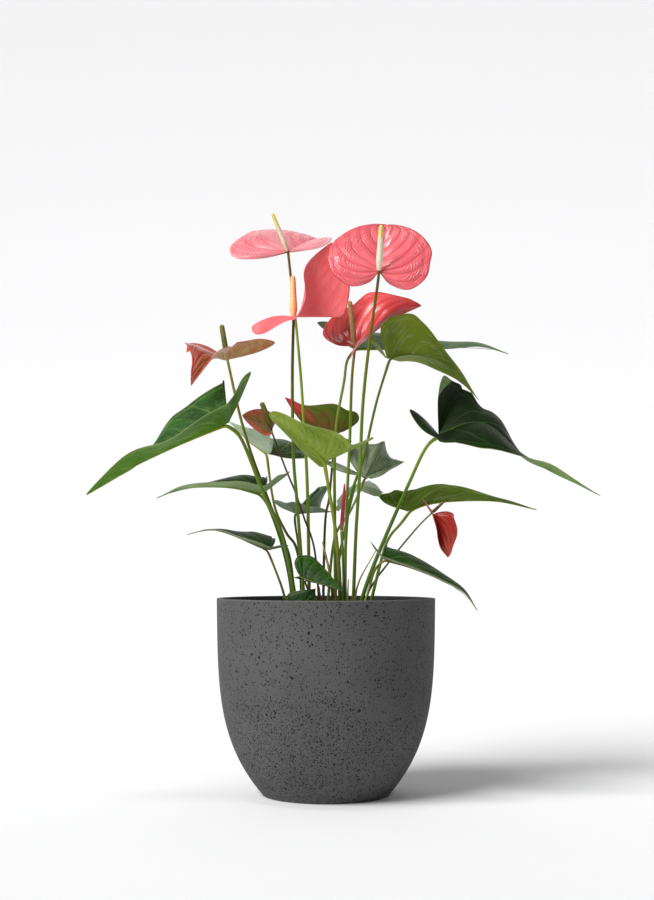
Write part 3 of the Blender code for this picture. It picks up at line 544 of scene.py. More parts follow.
# A leaf's stalk rises to the blade, thickens at its knee, and runs on under the blade as the midrib. Its
# radius goes evenly from flare to taper, then down through the shares in `thick`, times 1 + 0.2 x a bell
# curve at the knee.
def addStalk(name, leaf):
    radius = leaf["radius"] * mm
    shares = np.array([0.02, 0.12, 0.25, 0.45, 0.68, 0.9])
    thick = np.array([0.9, 0.7, 0.45, 0.34, 0.24, 0.12]) * radius
    rib = alongRib(leaf, shares) - ribNormal(leaf, shares) * (thick - 0.15 * mm)[:, None]
    stalk = evenPath(np.vstack([millimetres(leaf["petiole"]), rib[:1]]), 1.5 * mm)
    under = evenPath(rib, 1.5 * mm)
    path = footExtended(rounded(np.vstack([stalk, under[1:]]), 6))
    count, more = len(stalk), len(under) - 1
    radii = np.append(np.linspace(stemFlare, stemTaper, count) * radius,
                      np.interp(np.linspace(0, 1, more + 1)[1:] ** 0.9, np.linspace(0, 1, 6), thick))
    place = np.arange(len(path))
    knee = 1 + 0.2 * np.exp(-((place - count + 6) / 4.5) ** 2)
    uneven = 1 + 0.03 * np.sin(3 * onceRound(16)[None, :] + 0.05 * place[:, None])
    table = stemThin * (radii * knee)[:, None] * uneven
    finish = stemFinish(name + "_stalk", leaf["stalkLow"], leaf["stalk"], (0.2, 0.75))
    addGrid(name + "_stalk", carriedRings(path, table), finish, [name])


# A leaf: the blade, and the stalk that runs on under it.
def addLeaf(name, leaf):
    addBlade(name + "_blade", leaf, "leaf", leafFinish(name, leaf), name)
    addStalk(name, leaf)


# Each leaf in millimetres, with its colours: top and shade for the upper face, back and backShade for the
# lower one, vein for all its lines, stalk and stalkLow for its stalk's top and foot. veinShare, streaks and
# wax say how much the side veins, the pale and dark streaks and the wax show.
leaves = {
    "leaf_left_large": {
        "petiole": ((-23, -20, 150), (-38, -26, 229), (-57, -32, 273), (-76, -33, 320)),
        "base": (-88, -30, 336), "rib": ((-120, -36, 321), (-170, -44, 296)), "tip": (-213, -50, 269),
        "left": (0, -42, 4), "leftBase": (0, -42, 10), "leftEnd": (0, -28, 23),
        "right": (-4, 32, 37), "rightBase": (-6, 32, 40), "rightEnd": (10, 24, 4), "turn": 0.36,
        "lobeLeft": (21, 0, 38), "lobeRight": (-4, 8, 14), "full": 0.65,
        "radius": 1.9, "wave": 0.03,
        "top": "2f5f1d", "shade": "1c4213", "back": "5f8d2a", "backShade": "46741e", "vein": "8fb25c",
        "veinShare": 0.12, "streaks": 0.3, "stalk": "8fa81c", "stalkLow": "557815",
    },
    "leaf_left_middle": {
        "petiole": ((-30, 8, 150), (-33, 12, 190), (-42, 16, 229), (-54, 14, 262)),
        "base": (-59, 10, 273), "rib": ((-90, 3, 279), (-130, -7, 277)), "tip": (-155, -14, 268),
        "left": (0, -30, 5), "right": (0, 28, 16), "rightEnd": (0, 20, 2),
        "lobeLeft": (26, 6, 18), "lobeRight": (4, 5, 6),
        "radius": 1.5, "wave": 0.04, "waves": 3.1,
        "top": "2c5f1d", "shade": "1c4a14", "back": "95b070", "backShade": "76985a", "vein": "9ab070",
        "streaks": 0.25, "stalk": "7f9c1b", "stalkLow": "557815",
    },
    "leaf_left_low": {
        "petiole": ((-33, -14, 150), (-38, -14, 180), (-47, -11, 205)),
        "base": (-52, -6, 221), "rib": ((-78, -2, 231), (-95, 2, 238), (-112, 5, 239)),
        "tip": (-129, 8, 235),
        "left": (0, -20, 2), "right": (0, 26, 12), "rightEnd": (0, 20, 3),
        "lobeLeft": (18, 2, 3), "lobeRight": (5, 0, 2), "full": 1.35,
        "radius": 1.2, "wave": 0.04,
        "top": "28521a", "shade": "16380e", "back": "93ac80", "backShade": "74905f", "vein": "8a9a58",
        "stalk": "a5791d", "stalkLow": "5a6a15",
    },
    "leaf_front": {
        "petiole": ((13, -26, 150), (12, -28, 200), (8, -30, 242), (3, -32, 272)),
        "base": (0, -34, 300), "rib": ((-25, -48, 322),), "tip": (-50, -60, 341),
        "left": (22, -34, 12), "leftEnd": (10, -24, 8), "right": (-6, 14, -4),
        "lobeLeft": (30, -8, 12), "lobeRight": (5, 6, 0), "full": 0.36,
        "radius": 1.8, "wave": 0.03,
        "top": "35701a", "shade": "265a14", "back": "a1b744", "backShade": "829f38", "vein": "b0c47a",
        "streaks": 0.35, "stalk": "98ac20", "stalkLow": "6b741a",
    },
    "leaf_left_back": {
        "petiole": ((-16, 26, 150), (-27, 40, 219), (-37, 46, 236), (-47, 52, 256), (-52, 56, 276)),
        "base": (-56, 60, 314), "rib": ((-76, 80, 328),), "tip": (-97, 100, 350),
        "left": (2, -12, 17), "right": (22, 24, 12), "rightEnd": (8, 24, 8),
        "lobeLeft": (4, -9, -3), "lobeRight": (26, -8, -10),
        "radius": 1.4, "wave": 0.05,
        "top": "3a5f34", "shade": "24401f", "back": "b0c0a4", "backShade": "8aa084", "vein": "b5c2a0",
        "streaks": 0.25, "stalk": "9a9424", "stalkLow": "5a6a16",
    },
    "leaf_middle_back": {
        "petiole": ((-22, 28, 150), (-25, 30, 215), (-29, 31, 245)),
        "base": (-30, 32, 256), "tip": (6, 58, 258),
        "left": (24, 22, 26), "leftEnd": (4, 18, 6), "right": (2, -18, 8),
        "lobeLeft": (2, 0, 4), "lobeRight": (-20, 4, 6),
        "radius": 1.2, "wave": 0.08,
        "top": "7f9a7c", "shade": "5f7c5c", "back": "a4b89c", "backShade": "82a07a", "vein": "93a886",
        "streaks": 0.3, "stalk": "6d7a1d", "stalkLow": "4a5a13",
    },
    "leaf_middle_wavy": {
        "petiole": ((0, 2, 150), (6, 16, 221), (12, 20, 242), (21, 24, 254), (32, 30, 277)),
        "base": (36, 34, 289), "tip": (76, 68, 307),
        "left": (12, 22, 34), "leftEnd": (4, 18, 14), "right": (6, -12, -2), "rightBack": (0, -8, -16),
        "lobeLeft": (-20, 4, 10), "lobeRight": (-36, 4, 24), "full": 0.8,
        "radius": 1.3, "wave": 0.05, "waves": 3.1,
        "top": "8c9c7e", "shade": "55664a", "back": "93a080", "backShade": "6f7f5c", "vein": "a8b494",
        "streaks": 1.0, "wax": 0.15, "stalk": "93a023", "stalkLow": "5a7014",
    },
    "leaf_right_back_low": {
        "petiole": ((6, 26, 150), (12, 38, 210), (20, 50, 250)),
        "base": (27, 60, 284), "tip": (44, 130, 292),
        "left": (-16, 12, -16), "right": (26, 0, -8),
        "lobeLeft": (-6, -6, -16), "lobeRight": (6, -8, -8),
        "radius": 1.4, "wave": 0.08,
        # All four face colours are painted far paler than a leaf's own greens, partly to make up for the
        # shadow of the leaves around it: painted light.
        "top": "b4c4a4", "shade": "94a884", "back": "d0dcc4", "backShade": "b0c0a2", "vein": "aab690",
        "streaks": 0.3, "stalk": "7a9020", "stalkLow": "4f6a14",
    },
    "leaf_right_large": {
        "petiole": ((27, -20, 150), (33, -19, 178), (47, -17, 216), (75, -15, 280), (92, -15, 315)),
        "base": (103, -15, 326),
        "rib": ((133, -17, 337), (154, -18, 331), (180, -22, 304), (206, -27, 291)),
        "tip": (247, -35, 269),
        "left": (9, 24, 14), "leftEnd": (-6, 20, 4), "leftBase": (26, 33, 44), "leftBack": (26, 34, 16),
        "right": (0, -36, -27), "rightEnd": (0, -26, 12), "rightBase": (0, -36, -12),
        "rightBack": (0, -30, -26), "turn": 0.24,
        "lobeLeft": (-7, -5, 48), "lobeRight": (-27, 4, 34),
        "radius": 1.8, "wave": 0.02,
        "top": "122a05", "shade": "081703", "back": "8fae6c", "backShade": "6d9048", "vein": "3f5f2a",
        "streaks": 0.1, "stalk": "86a41a", "stalkLow": "4f7411",
    },
    "leaf_right_high": {
        "petiole": ((14, 10, 150), (17, 10, 200), (20, 9, 252), (25, 9, 278), (35, 10, 307), (47, 8, 358)),
        "base": (57, 5, 399), "rib": ((77, 18, 405), (99, 30, 404), (124, 46, 393)), "tip": (148, 60, 366),
        "left": (2, 30, -3), "leftBack": (-11, 14, 2), "leftBase": (0, 26, 3), "leftEnd": (0, 22, -16),
        "right": (4, -19, 36), "rightEnd": (4, -20, 6), "rightBack": (-2, -19, 30),
        "lobeLeft": (-13, 8, 26), "lobeRight": (-5, 0, 8), "full": 1.1,
        "radius": 1.4, "wave": 0.03,
        # top and shade are painted pale sage, far paler than the leaf's own green, partly to make up for the
        # shade on its lower strip: painted light.
        "top": "d0dcb8", "shade": "b0c09a", "back": "7f8f20", "backShade": "5c7418", "vein": "9fac44",
        "streaks": 0.25, "stalk": "5f7f11", "stalkLow": "5a7a12",
    },
    "leaf_back_high": {
        "petiole": ((9, 4, 150), (8, 8, 263), (8, 11, 303), (10, 13, 340), (17, 20, 379), (20, 28, 400)),
        "base": (25, 40, 414), "rib": ((110, 66, 417), (150, 76, 421)), "tip": (181, 86, 415),
        "left": (5, 38, 20), "right": (0, -20, 8),
        "lobeLeft": (-36, 0, 18), "lobeRight": (-6, 4, 4),
        "radius": 1.5, "wave": 0.03,
        "top": "4a6844", "shade": "34502e", "back": "86a07a", "backShade": "64845e", "vein": "a5b58f",
        "streaks": 0.3, "stalk": "93a624", "stalkLow": "5a7a13",
    },
    "leaf_right_middle": {
        "petiole": ((36, -2, 150), (44, -2, 185), (56, 2, 228), (69, 6, 245)),
        "base": (75, 8, 257), "rib": ((100, 12, 265), (155, 22, 267)), "tip": (199, 30, 259),
        "left": (0, 30, 6), "right": (5, -16, 18), "rightEnd": (4, -14, 8),
        "lobeLeft": (-8, 0, 6), "lobeRight": (-28, 4, 4),
        "radius": 1.5, "wave": 0.06, "waves": 4.1,
        "top": "3a6a14", "shade": "28500e", "back": "648019", "backShade": "4a640e", "vein": "9ab070",
        "streaks": 0.35, "stalk": "98a61d", "stalkLow": "688418",
    },
    "leaf_right_low": {
        "petiole": ((34, -32, 150), (36, -36, 176), (40, -41, 192), (44, -44, 204)),
        "base": (50, -46, 213), "rib": ((78, -50, 204), (101, -54, 194), (121, -57, 183)),
        "tip": (133, -60, 167),
        "left": (6, 24, 10), "right": (-2, -26, 1),
        "lobeLeft": (0, 6, 6), "lobeRight": (-11, 0, 15),
        "radius": 1.2, "wave": 0.02,
        "top": "1f4813", "shade": "13300b", "back": "b8c4a8", "backShade": "93a588", "vein": "6f8a48",
        "streaks": 0.3, "stalk": "a87f1b", "stalkLow": "687414",
    },
    "leaf_small_front": {
        "petiole": ((-8, -30, 150), (-10, -40, 170), (-16, -50, 186)),
        "base": (-20, -55, 195), "tip": (14, -66, 185),
        "left": (2, 14, 21), "right": (-4, -14, 2),
        "lobeLeft": (-9, 0, 4), "lobeRight": (-6, -4, 0), "full": 0.85,
        "radius": 1.0, "wave": 0.03,
        "top": "1e4a0e", "shade": "143608", "back": "5a802d", "backShade": "467023", "vein": "7fa048",
        "stalk": "6f8a1a", "stalkLow": "4f6a14",
    },
    "leaf_small_left": {
        "petiole": ((-20, -32, 150), (-22, -40, 156)),
        "base": (-24, -52, 166), "tip": (-9, -57, 187),
        "left": (-12, 6, 12), "right": (12, -4, -6),
        "lobeLeft": (-6, 0, 4), "lobeRight": (4, -2, -4),
        "radius": 1.0, "wave": 0.02,
        "top": "1a420c", "shade": "102e06", "back": "4f7a2a", "backShade": "3f6620", "vein": "7a9c48",
        "stalk": "6f8a1a", "stalkLow": "4f6a14",
    },
}

for name, leaf in leaves.items():
    addLeaf(name, leaf)
print("leaves made", len(leaves))

# The blooms. Each is a stem, a spathe on its top and a spadix above both.
bloomForm = {
    "stemSides": 16,
    "spadixRings": 110,
    "spadixSides": 48,
    "floretsAround": 14,
    "floretSize": 1.3,       # millimetres along the spadix
    "floretRelief": 0.06,    # share of the radius
}


# Spadix: a tapered rod in a spiral net of florets. Its radius at share v of the length is the body's,
# (0.5 + 2.4 v up to 1) x (1 - taper x v), drawn in at the tip, times 1 + relief x the product of two
# crossing waves.
def addSpadix(name, foot, tip, radius, taper, finish):
    v = np.linspace(0, 1, bloomForm["spadixRings"])[:, None]
    u = onceRound(bloomForm["spadixSides"])[None, :]
    drawnIn = np.sqrt(1 - 0.96 * ((v - 0.93) / 0.07).clip(0) ** 2)
    body = np.minimum(1, 0.5 + 2.4 * v) * (1 - taper * v) * drawnIn
    turns = math.pi * np.linalg.norm(tip - foot) / (bloomForm["floretSize"] * mm)
    half = bloomForm["floretsAround"] / 2
    net = np.abs(np.cos(half * u + turns * v) * np.cos(half * u - turns * v))
    table = radius * body * (1 + bloomForm["floretRelief"] * (net - 0.3))
    addGrid(name, carriedRings(foot + (tip - foot) * v, table), finish, [name])


# Spadix skin: one colour at the foot, another at the tip, and painted light and shade across the rod: a third
# colour comes in on the right, away from the key light, as painted shade, so the left looks lit. Each floret
# is lighter than the joints between them. The rod's middle, left to right, and its radius are in millimetres.
def spadixFinish(name, look, middle, radius):
    finish, place = newFinish(name, {"Specular IOR Level": 0.4, "Coat Weight": 0.05})
    row = surfacePlace(place)[1]
    ripe = (row + (place.clouds(300, 3) - 0.5) * 0.12).step(*look.get("spadixTurn", (0.45, 0.85)))
    # Painted light and shade: the side colour grows towards the right of the rod, away from the key light.
    across = (place.parts()[0] - middle * mm) / (radius * mm)
    side = across.step(-0.5, 1.0) * look.get("spadixShadeSideShare", 0.0)
    florets = place.scatter(720).step(0.25, 0.65)
    skin = layered(paint(look["spadixFoot"]), (ripe, look["spadixHead"]),
                   (side, look.get("spadixShadeSide", look["spadixHead"])), (florets * 0.7, look["spadixJoint"]),
                   (place.clouds(1300, 3, 0.7).step(0.55, 0.75) * 0.18, "fff8d8"))
    return dressed(finish, skin, 0.5 + florets * 0.2, 1 - florets, 0.35 * mm, 0.9)


# The stem runs on into the spadix. Its radius goes evenly from flare to taper, waves a little round it, and
# swells by 0.1 x a bell curve where the spathe sits.
def addBloom(name, bloom):
    stem, spathe, spadix = (kind + "_" + name for kind in ("stem", "spathe", "spadix"))
    radius = bloom["radius"] * mm
    clear = stemTaper * radius + touchGap
    path = evenPath(millimetres(bloom["stem"]), 2 * mm)
    top = path[-1]
    spadixTip = millimetres(bloom["spadixTip"])
    upright = unitRows(spadixTip - top)
    foot = top + upright * clear + millimetres(bloom.get("perch", (0, 0, 0)))
    path = rounded(np.vstack([path, (top + foot) / 2, foot, foot + upright * 2 * mm]), 2)
    place = np.arange(len(path))[:, None]
    thick = np.linspace(stemFlare, stemTaper, len(path))[:, None] * radius * stemThin
    uneven = 1 + 0.04 * np.sin(2 * onceRound(bloomForm["stemSides"])[None, :] + 0.04 * place)
    swell = 1 + 0.1 * np.exp(-((len(path) - place) / 2.5) ** 2)
    rings = carriedRings(footExtended(path), thick * uneven * swell)
    finish = stemFinish(stem, bloom["stemLow"], bloom["stemHigh"], bloom.get("stemTurn", (0.55, 0.95)))
    addGrid(stem, rings, finish, [stem])
    seat = unitRows(millimetres(bloom["tip"]) - top) * clear + millimetres(bloom.get("seat", (0, 0, 0)))
    seated = dict(bloom, base=tuple((top + seat) / mm))
    addBlade(spathe, seated, "spathe", spatheFinish(spathe, bloom), spathe)
    middle = (foot[0] + spadixTip[0]) / 2 / mm
    finish = spadixFinish(spadix, bloom, middle, bloom["spadixRadius"])
    addSpadix(spadix, foot, spadixTip, bloom["spadixRadius"] * mm, bloom.get("taper", 0.42), finish)


# Each bloom in millimetres, with its colours. seat and perch move the spathe's base and the spadix's foot
# aside, so that the three parts stay clear of one another.
# Spathe: face and deep are the upper face and its folds, where deep, the deeper colour, is also painted shade
# in the grooves of the veins and the wrinkles between them; back and backShade are the lower face, vein its
# lines, rim its edge, heart the aged middle, lobe the left lobe, point the tip. The shares age, lobeShare,
# pointShare, mottle (dark blotches on the lobe), marble (pale streaks) and ladder (wrinkles between the
# veins, in relief and in painted shade) say how much of each shows; relief is the folds' depth, and dull and
# wax set the shine.
# Spadix and stem: colours at the foot and the head, and the shares of the length between which they turn.
blooms = {
    "top_left": {
        "stem": ((-15, 2, 150), (-17, 6, 270), (-21, 11, 345), (-26, 17, 410), (-36, 25, 503)),
        "seat": (0.2, 0, 0.6), "perch": (0, -0.4, 0.4), "rib": ((-14, 66, 524),), "tip": (1, 88, 527),
        "left": (-46, 26, 22), "leftEnd": (-38, 26, 22), "right": (30, -12, 2),
        "lobeLeft": (-28, -20, -18), "lobeRight": (0, -6, -2),
        "spadixTip": (-51, 18, 540), "spadixRadius": 2.6, "radius": 1.5,
        "face": "f48a92", "deep": "e2606c", "back": "ee6a74", "vein": "fabcc0", "veinShare": 0.4,
        "rim": "f6b0b4", "marble": 0.6, "ladder": 0.9, "quilt": 0.5,
        "spadixFoot": "fffbe6", "spadixHead": "ffe036", "spadixJoint": "f6e4a0",
        "stemLow": "86a61d", "stemHigh": "77560e", "stemTurn": (0.72, 0.95),
    },
    "middle_left": {
        "stem": ((-19, -2, 150), (-23, -5, 218), (-27, -8, 270), (-30, -9, 310), (-31, -9, 379),
                 (-30, -10, 434)),
        "seat": (1.5, -3, -0.7), "perch": (0, -0.3, -0.9),
        "rib": ((-23, -11, 438), (-18, -6, 455), (-7, 1, 482)),
        "tip": (5, 14, 511),
        "left": (40, 14, 2), "right": (2, -28, 2), "rightBase": (-2, -20, -6), "rightEnd": (-20, -18, 0),
        "rightBack": (-10, -10, -32),
        "lobeLeft": (3, 6, 4), "lobeRight": (-36, 12, 8),
        "spadixTip": (-31, 4, 477), "spadixRadius": 4.0, "radius": 1.6,
        "face": "e8686e", "deep": "e0484e", "back": "ff8084", "backShade": "ff6a6e", "vein": "f88c80",
        "veinShare": 0.35, "rim": "f58aa0", "rimShare": 0.6, "marble": 0.16, "quilt": 0.15, "relief": 0.25,
        "dull": 0.5, "wax": 0.03,
        # This spadix is painted pale on its left, towards the key light, and deep orange on its right:
        # painted light and shade.
        "spadixFoot": "fde4b0", "spadixHead": "fcd8a0", "spadixJoint": "f4b070", "spadixShadeSide": "f8701c",
        "spadixShadeSideShare": 0.85,
        "stemLow": "6a8a16", "stemHigh": "5f4a0b", "stemTurn": (0.45, 0.9),
    },
    "top_right": {
        "stem": ((24, -6, 150), (27, -12, 229), (29, -16, 263), (31, -20, 297), (33, -23, 344),
                 (36, -26, 379), (41, -29, 420), (46, -32, 454), (48, -34, 470)),
        "seat": (0, -1, 1.8), "perch": (0, -2.2, 2), "rib": ((53, -14, 499),), "tip": (57, 2, 525),
        "left": (-47, 2, 13), "right": (47, 2, 8),
        "lobeLeft": (-3, -8, -21), "lobeRight": (3, -8, -22), "full": 0.7,
        "spadixTip": (50, -44, 514), "spadixRadius": 3.4, "radius": 1.6,
        "face": "fa7680", "deep": "e0424c", "back": "e85560", "vein": "f8a0a4", "veinShare": 0.2,
        "ribShare": 0.3, "rim": "d03040", "rimWidth": 0.025, "marble": 0.12, "ladder": 1.3, "quilt": 0.7,
        "dull": 0.24, "wax": 0.5,
        "spadixFoot": "fff8ea", "spadixHead": "ffde28", "spadixJoint": "efe3b4", "spadixTurn": (0.6, 0.8),
        "stemLow": "6a8a15", "stemHigh": "6f640e", "stemTurn": (0.5, 0.95),
    },
    "middle_right": {
        "stem": ((17, -10, 150), (18, -9, 229), (20, -6, 283), (22, -4, 324), (24, -1, 379), (27, 4, 409)),
        "seat": (1, 0, 0.5), "perch": (0, -1.2, 0), "rib": ((58, 8, 434),), "tip": (90, 16, 451),
        "left": (-3, 30, 45), "leftEnd": (0, 26, 34), "right": (0, -16, 2), "rightEnd": (0, -12, 8),
        "lobeLeft": (-31, 8, -7), "lobeRight": (-8, -14, -16),
        "spadixTip": (22, -4, 452), "spadixRadius": 2.7, "radius": 1.5,
        "face": "fa6264", "deep": "e63c3a", "back": "ee6266", "backShade": "e44a50", "vein": "f4a0a0",
        "veinShare": 0.12, "rim": "e0303c", "lobe": "a81408", "lobeShare": 0.95, "mottle": 0.85,
        "marble": 0.08, "ladder": 0.5, "quilt": 0.4, "relief": 0.6, "dull": 0.24, "wax": 0.3,
        "spadixFoot": "a58a52", "spadixHead": "cba368", "spadixJoint": "8c6a3c", "spadixTurn": (0.2, 0.9),
        "taper": 0.2,
        "stemLow": "6a8a15", "stemHigh": "7a5c11", "stemTurn": (0.6, 0.97),
    },
    "far_left": {
        "stem": ((-27, 14, 150), (-33, 22, 208), (-41, 30, 233), (-58, 44, 277), (-71, 42, 312),
                 (-82, 32, 350), (-93, 22, 400)),
        "seat": (-0.6, -0.8, 0.5), "perch": (0.2, 0, -1), "rib": ((-106, -8, 396),), "tip": (-122, -34, 369),
        "left": (12, -20, 8), "leftEnd": (10, -12, 8), "leftBase": (12, -20, 14), "leftBack": (0, -20, 16),
        "right": (-32, -6, 14), "rightEnd": (-14, -6, 12), "rightBase": (-32, -6, 6),
        "rightBack": (-24, -6, -18), "lobeLeft": (46, 8, 8), "lobeRight": (-24, 14, 26),
        "spadixTip": (-99, 24, 434), "spadixRadius": 2.7, "radius": 1.5,
        "face": "b83420", "deep": "8a1e10", "back": "dcb472", "backShade": "cc7c48", "vein": "f4e0c4",
        "veinShare": 0.4, "rim": "e84a44", "rimWidth": 0.06, "heart": "a8924c", "age": 0.3, "marble": 0.2,
        "quilt": 0.4, "relief": 0.5,
        "spadixFoot": "6d7a22", "spadixHead": "8f9638", "spadixJoint": "545a1c", "taper": 0.12,
        "stemLow": "2f300a", "stemHigh": "a8a826", "stemTurn": (0.35, 1.0),
    },
    "small_left": {
        "stem": ((-5, -14, 150), (-10, -7, 218), (-20, 0, 250), (-29, 6, 276), (-37, 11, 295),
                 (-51, 14, 332)),
        "perch": (0.8, -0.6, 1.3), "tip": (-78, 6, 346),
        "left": (-4, -12, -6), "right": (2, 12, 17),
        "lobeLeft": (4, -3, -1), "lobeRight": (4, 4, 2),
        "spadixTip": (-60, 6, 358), "spadixRadius": 2.6, "radius": 1.0, "thickness": 0.65,
        "face": "c4602a", "deep": "9a2e1e", "back": "a04a30", "vein": "dfbfa4", "veinShare": 0.55,
        "rim": "e04450", "rimWidth": 0.16, "heart": "7f6a30", "age": 0.9, "marble": 0.4, "quilt": 0.25,
        "relief": 0.5,
        "spadixFoot": "6d7220", "spadixHead": "9a9640", "spadixJoint": "5a561a", "taper": 0.1,
        "stemLow": "332408", "stemHigh": "5a3a0c", "stemTurn": (0.2, 0.9),
    },
    "old_middle": {
        "stem": ((-3, 16, 150), (-1, 24, 243), (3, 32, 270), (6, 38, 302), (9, 44, 328)),
        "seat": (-1.5, 1.4, 2.1), "perch": (0.4, -0.2, 0.4), "rib": ((-14, 50, 344),), "tip": (-40, 60, 369),
        "left": (-4, -12, -8), "right": (14, 20, 26), "rightEnd": (4, 10, 10),
        "lobeLeft": (20, 2, -3), "lobeRight": (18, 6, 2),
        "spadixTip": (12, 34, 352), "spadixRadius": 2.2, "radius": 1.3,
        "face": "566c04", "deep": "425202", "back": "586a06", "backShade": "6e440c", "vein": "7c7c20",
        "veinShare": 0.2, "rim": "8f4a26", "heart": "70400e", "age": 0.7, "point": "dc3a44",
        "pointShare": 1.0, "marble": 0.08, "quilt": 0.2, "relief": 0.4, "dull": 0.6, "wax": 0.02,
        "spadixFoot": "7a6a2c", "spadixHead": "8f8434", "spadixJoint": "5a4a1c", "taper": 0.2,
        "stemLow": "5a4a12", "stemHigh": "6a4a13", "stemTurn": (0.3, 0.9),
    },
    "small_right": {
        "stem": ((30, 8, 150), (40, 6, 184), (59, 2, 211), (69, -2, 224), (85, -8, 243), (96, -12, 254)),
        "seat": (0.6, -0.2, 0), "rib": ((101, -16, 238), (103, -20, 224)), "tip": (110, -26, 214),
        "left": (19, -8, -2), "right": (-2, -14, 4),
        "lobeLeft": (4, 2, 4), "lobeRight": (-8, 4, 12),
        "spadixTip": (108, -12, 265), "spadixRadius": 1.8, "radius": 0.9, "thickness": 0.65,
        "face": "ac220e", "deep": "801406", "back": "c4301c", "backShade": "9c1c0e", "vein": "e08a80",
        "veinShare": 0.25, "rim": "d86a60", "marble": 0.12, "quilt": 0.15, "relief": 0.4, "wax": 0.1,
        "spadixFoot": "6a5a2a", "spadixHead": "8a7a3c", "spadixJoint": "4a3c1a",
        "stemLow": "5a6a12", "stemHigh": "7a6a18", "stemTurn": (0.3, 0.9),
    },
}

for name, bloom in blooms.items():
    addBloom(name, bloom)
print("blooms made", len(blooms))

# The bud: a spathe still rolled up round its spadix, on its own stem
bud = {
    "stem": ((17, -20, 150), (16, -22, 200), (14, -23, 238)),
    "tip": (17, -22, 281),
    "radius": 1.4,
    "budRadius": 2.0,
    "stemSides": 16,
    "rows": 70,
    "columns": 40,
    "roll": 0.16,            # height of the rolled edge as a share of the radius
    "twist": 2.2,            # turns of the rolled edge, in radians
    "skin": "dc2c4c",
    "fold": "8f1a30",
    "foot": "7d7a2c",
    "stemLow": "4f7a26",
    "stemHigh": "7c9a3a",
}


# Rolled skin: crimson with a darker line along the rolled edge, streaks along it, and a green foot.
def budFinish():
    finish, place = newFinish("bud_spathe", {"Coat Weight": 0.3, "Coat Roughness": 0.2})
    u, row = surfacePlace(place)
    streak = place.scaled((800, 800, 90)).clouds(1.0, 4, 0.65)
    skin = layered(paint(bud["skin"]), (streak.step(0.3, 0.75), bud["fold"]),
                   (u.step(0.1, 0.0) * 0.7, bud["fold"]), (row.step(0.25, 0.0), bud["foot"]))
    return dressed(finish, skin, 0.32 + streak * 0.2, streak, 0.2 * mm, 0.6)


# The rolled spathe: a tube whose radius grows round it by `roll` from one side of the edge to the other, the
# edge winding by `twist` up to the tip. The body narrows as the square root of 1 - v squared.
def addBud():
    stem = footExtended(evenPath(millimetres(bud["stem"]), 2 * mm))
    thick = np.linspace(stemFlare, stemTaper, len(stem)) * bud["radius"] * mm
    finish = stemFinish("bud_stem", bud["stemLow"], bud["stemHigh"])
    rings = carriedRings(stem, np.repeat(thick[:, None], bud["stemSides"], axis=1))
    addGrid("bud_stem", rings, finish, ["bud_stem"])
    tip = millimetres(bud["tip"])
    foot = stem[-1] + unitRows(tip - stem[-1]) * touchGap
    v = np.linspace(0, 1, bud["rows"])[:, None]
    u = np.linspace(0, 1, bud["columns"], endpoint=False)[None, :]
    wound = (u + v * bud["twist"] / fullTurn) % 1
    body = bud["budRadius"] * mm * (0.12 + 0.88 * np.sqrt(1 - v**2)) * (0.8 + 0.2 * eased(v / 0.15))
    table = body * (1 + bud["roll"] * (wound - 0.6))
    addGrid("bud_spathe", carriedRings(foot + (tip - foot) * v, table), budFinish(), ["bud_spathe"])


addBud()

# Dry sheaths round the stems: a path in millimetres, the radius at the foot, and two colours
sheaths = {
    "sheath_tall": {"path": ((8, -40, 150), (5, -42, 190), (-3, -43, 228)), "radius": 2.2,
                    "skin": "a8a058", "dark": "6f6a30"},
    "sheath_brown": {"path": ((-3, -42, 150), (-4, -42, 170), (-6, -42, 188)), "radius": 1.5,
                     "skin": "b07a42", "dark": "6a3f1e"},
    "sheath_dry": {"path": ((25, -34, 150), (28, -37, 188), (45, -40, 221)), "radius": 1.2,
                   "skin": "a88a58", "dark": "5c4426"},
    "sheath_pale": {"path": ((31, -44, 150), (34, -45, 172), (39, -46, 190)), "radius": 1.8,
                    "skin": "b4bc72", "dark": "74803a"},
    "sheath_yellow": {"path": ((19, -42, 150), (19, -43, 175), (20, -43, 195)), "radius": 1.6,
                      "skin": "bcb460", "dark": "7f7a30"},
}


# Papery skin in two colours, with long fibres and worn pale spots.
def sheathFinish(name, look):
    finish, place = newFinish(name, {"Specular IOR Level": 0.3})
    fibre = place.scaled((1100, 1100, 60)).clouds(1.0, 4, 0.7)
    skin = layered(paint(look["dark"]), (fibre.step(0.3, 0.7), look["skin"]),
                   (place.clouds(160, 3).step(0.55, 0.7) * 0.35, "d8c890"))
    return dressed(finish, skin, 0.6 + fibre * 0.25, fibre, 0.35 * mm, 0.9)


# A sheath narrows to 0.3 of its foot's radius and has lengthwise pleats and one rolled edge.
def addSheath(name, look):
    path = footExtended(evenPath(millimetres(look["path"]), 1.5 * mm))
    v = np.linspace(0, 1, len(path))[:, None]
    u = np.linspace(0, 1, 28, endpoint=False)[None, :]
    pleats = 1 + 0.07 * np.sin(2 * np.pi * (5 * u + v)) + 0.12 * ((u + 0.4 * v) % 1 - 0.5)
    table = look["radius"] * mm * (1 - 0.7 * v) * pleats
    addGrid(name, carriedRings(path, table), sheathFinish(name, look), [name])


for name, look in sheaths.items():
    addSheath(name, look)
print("bud and sheaths made")

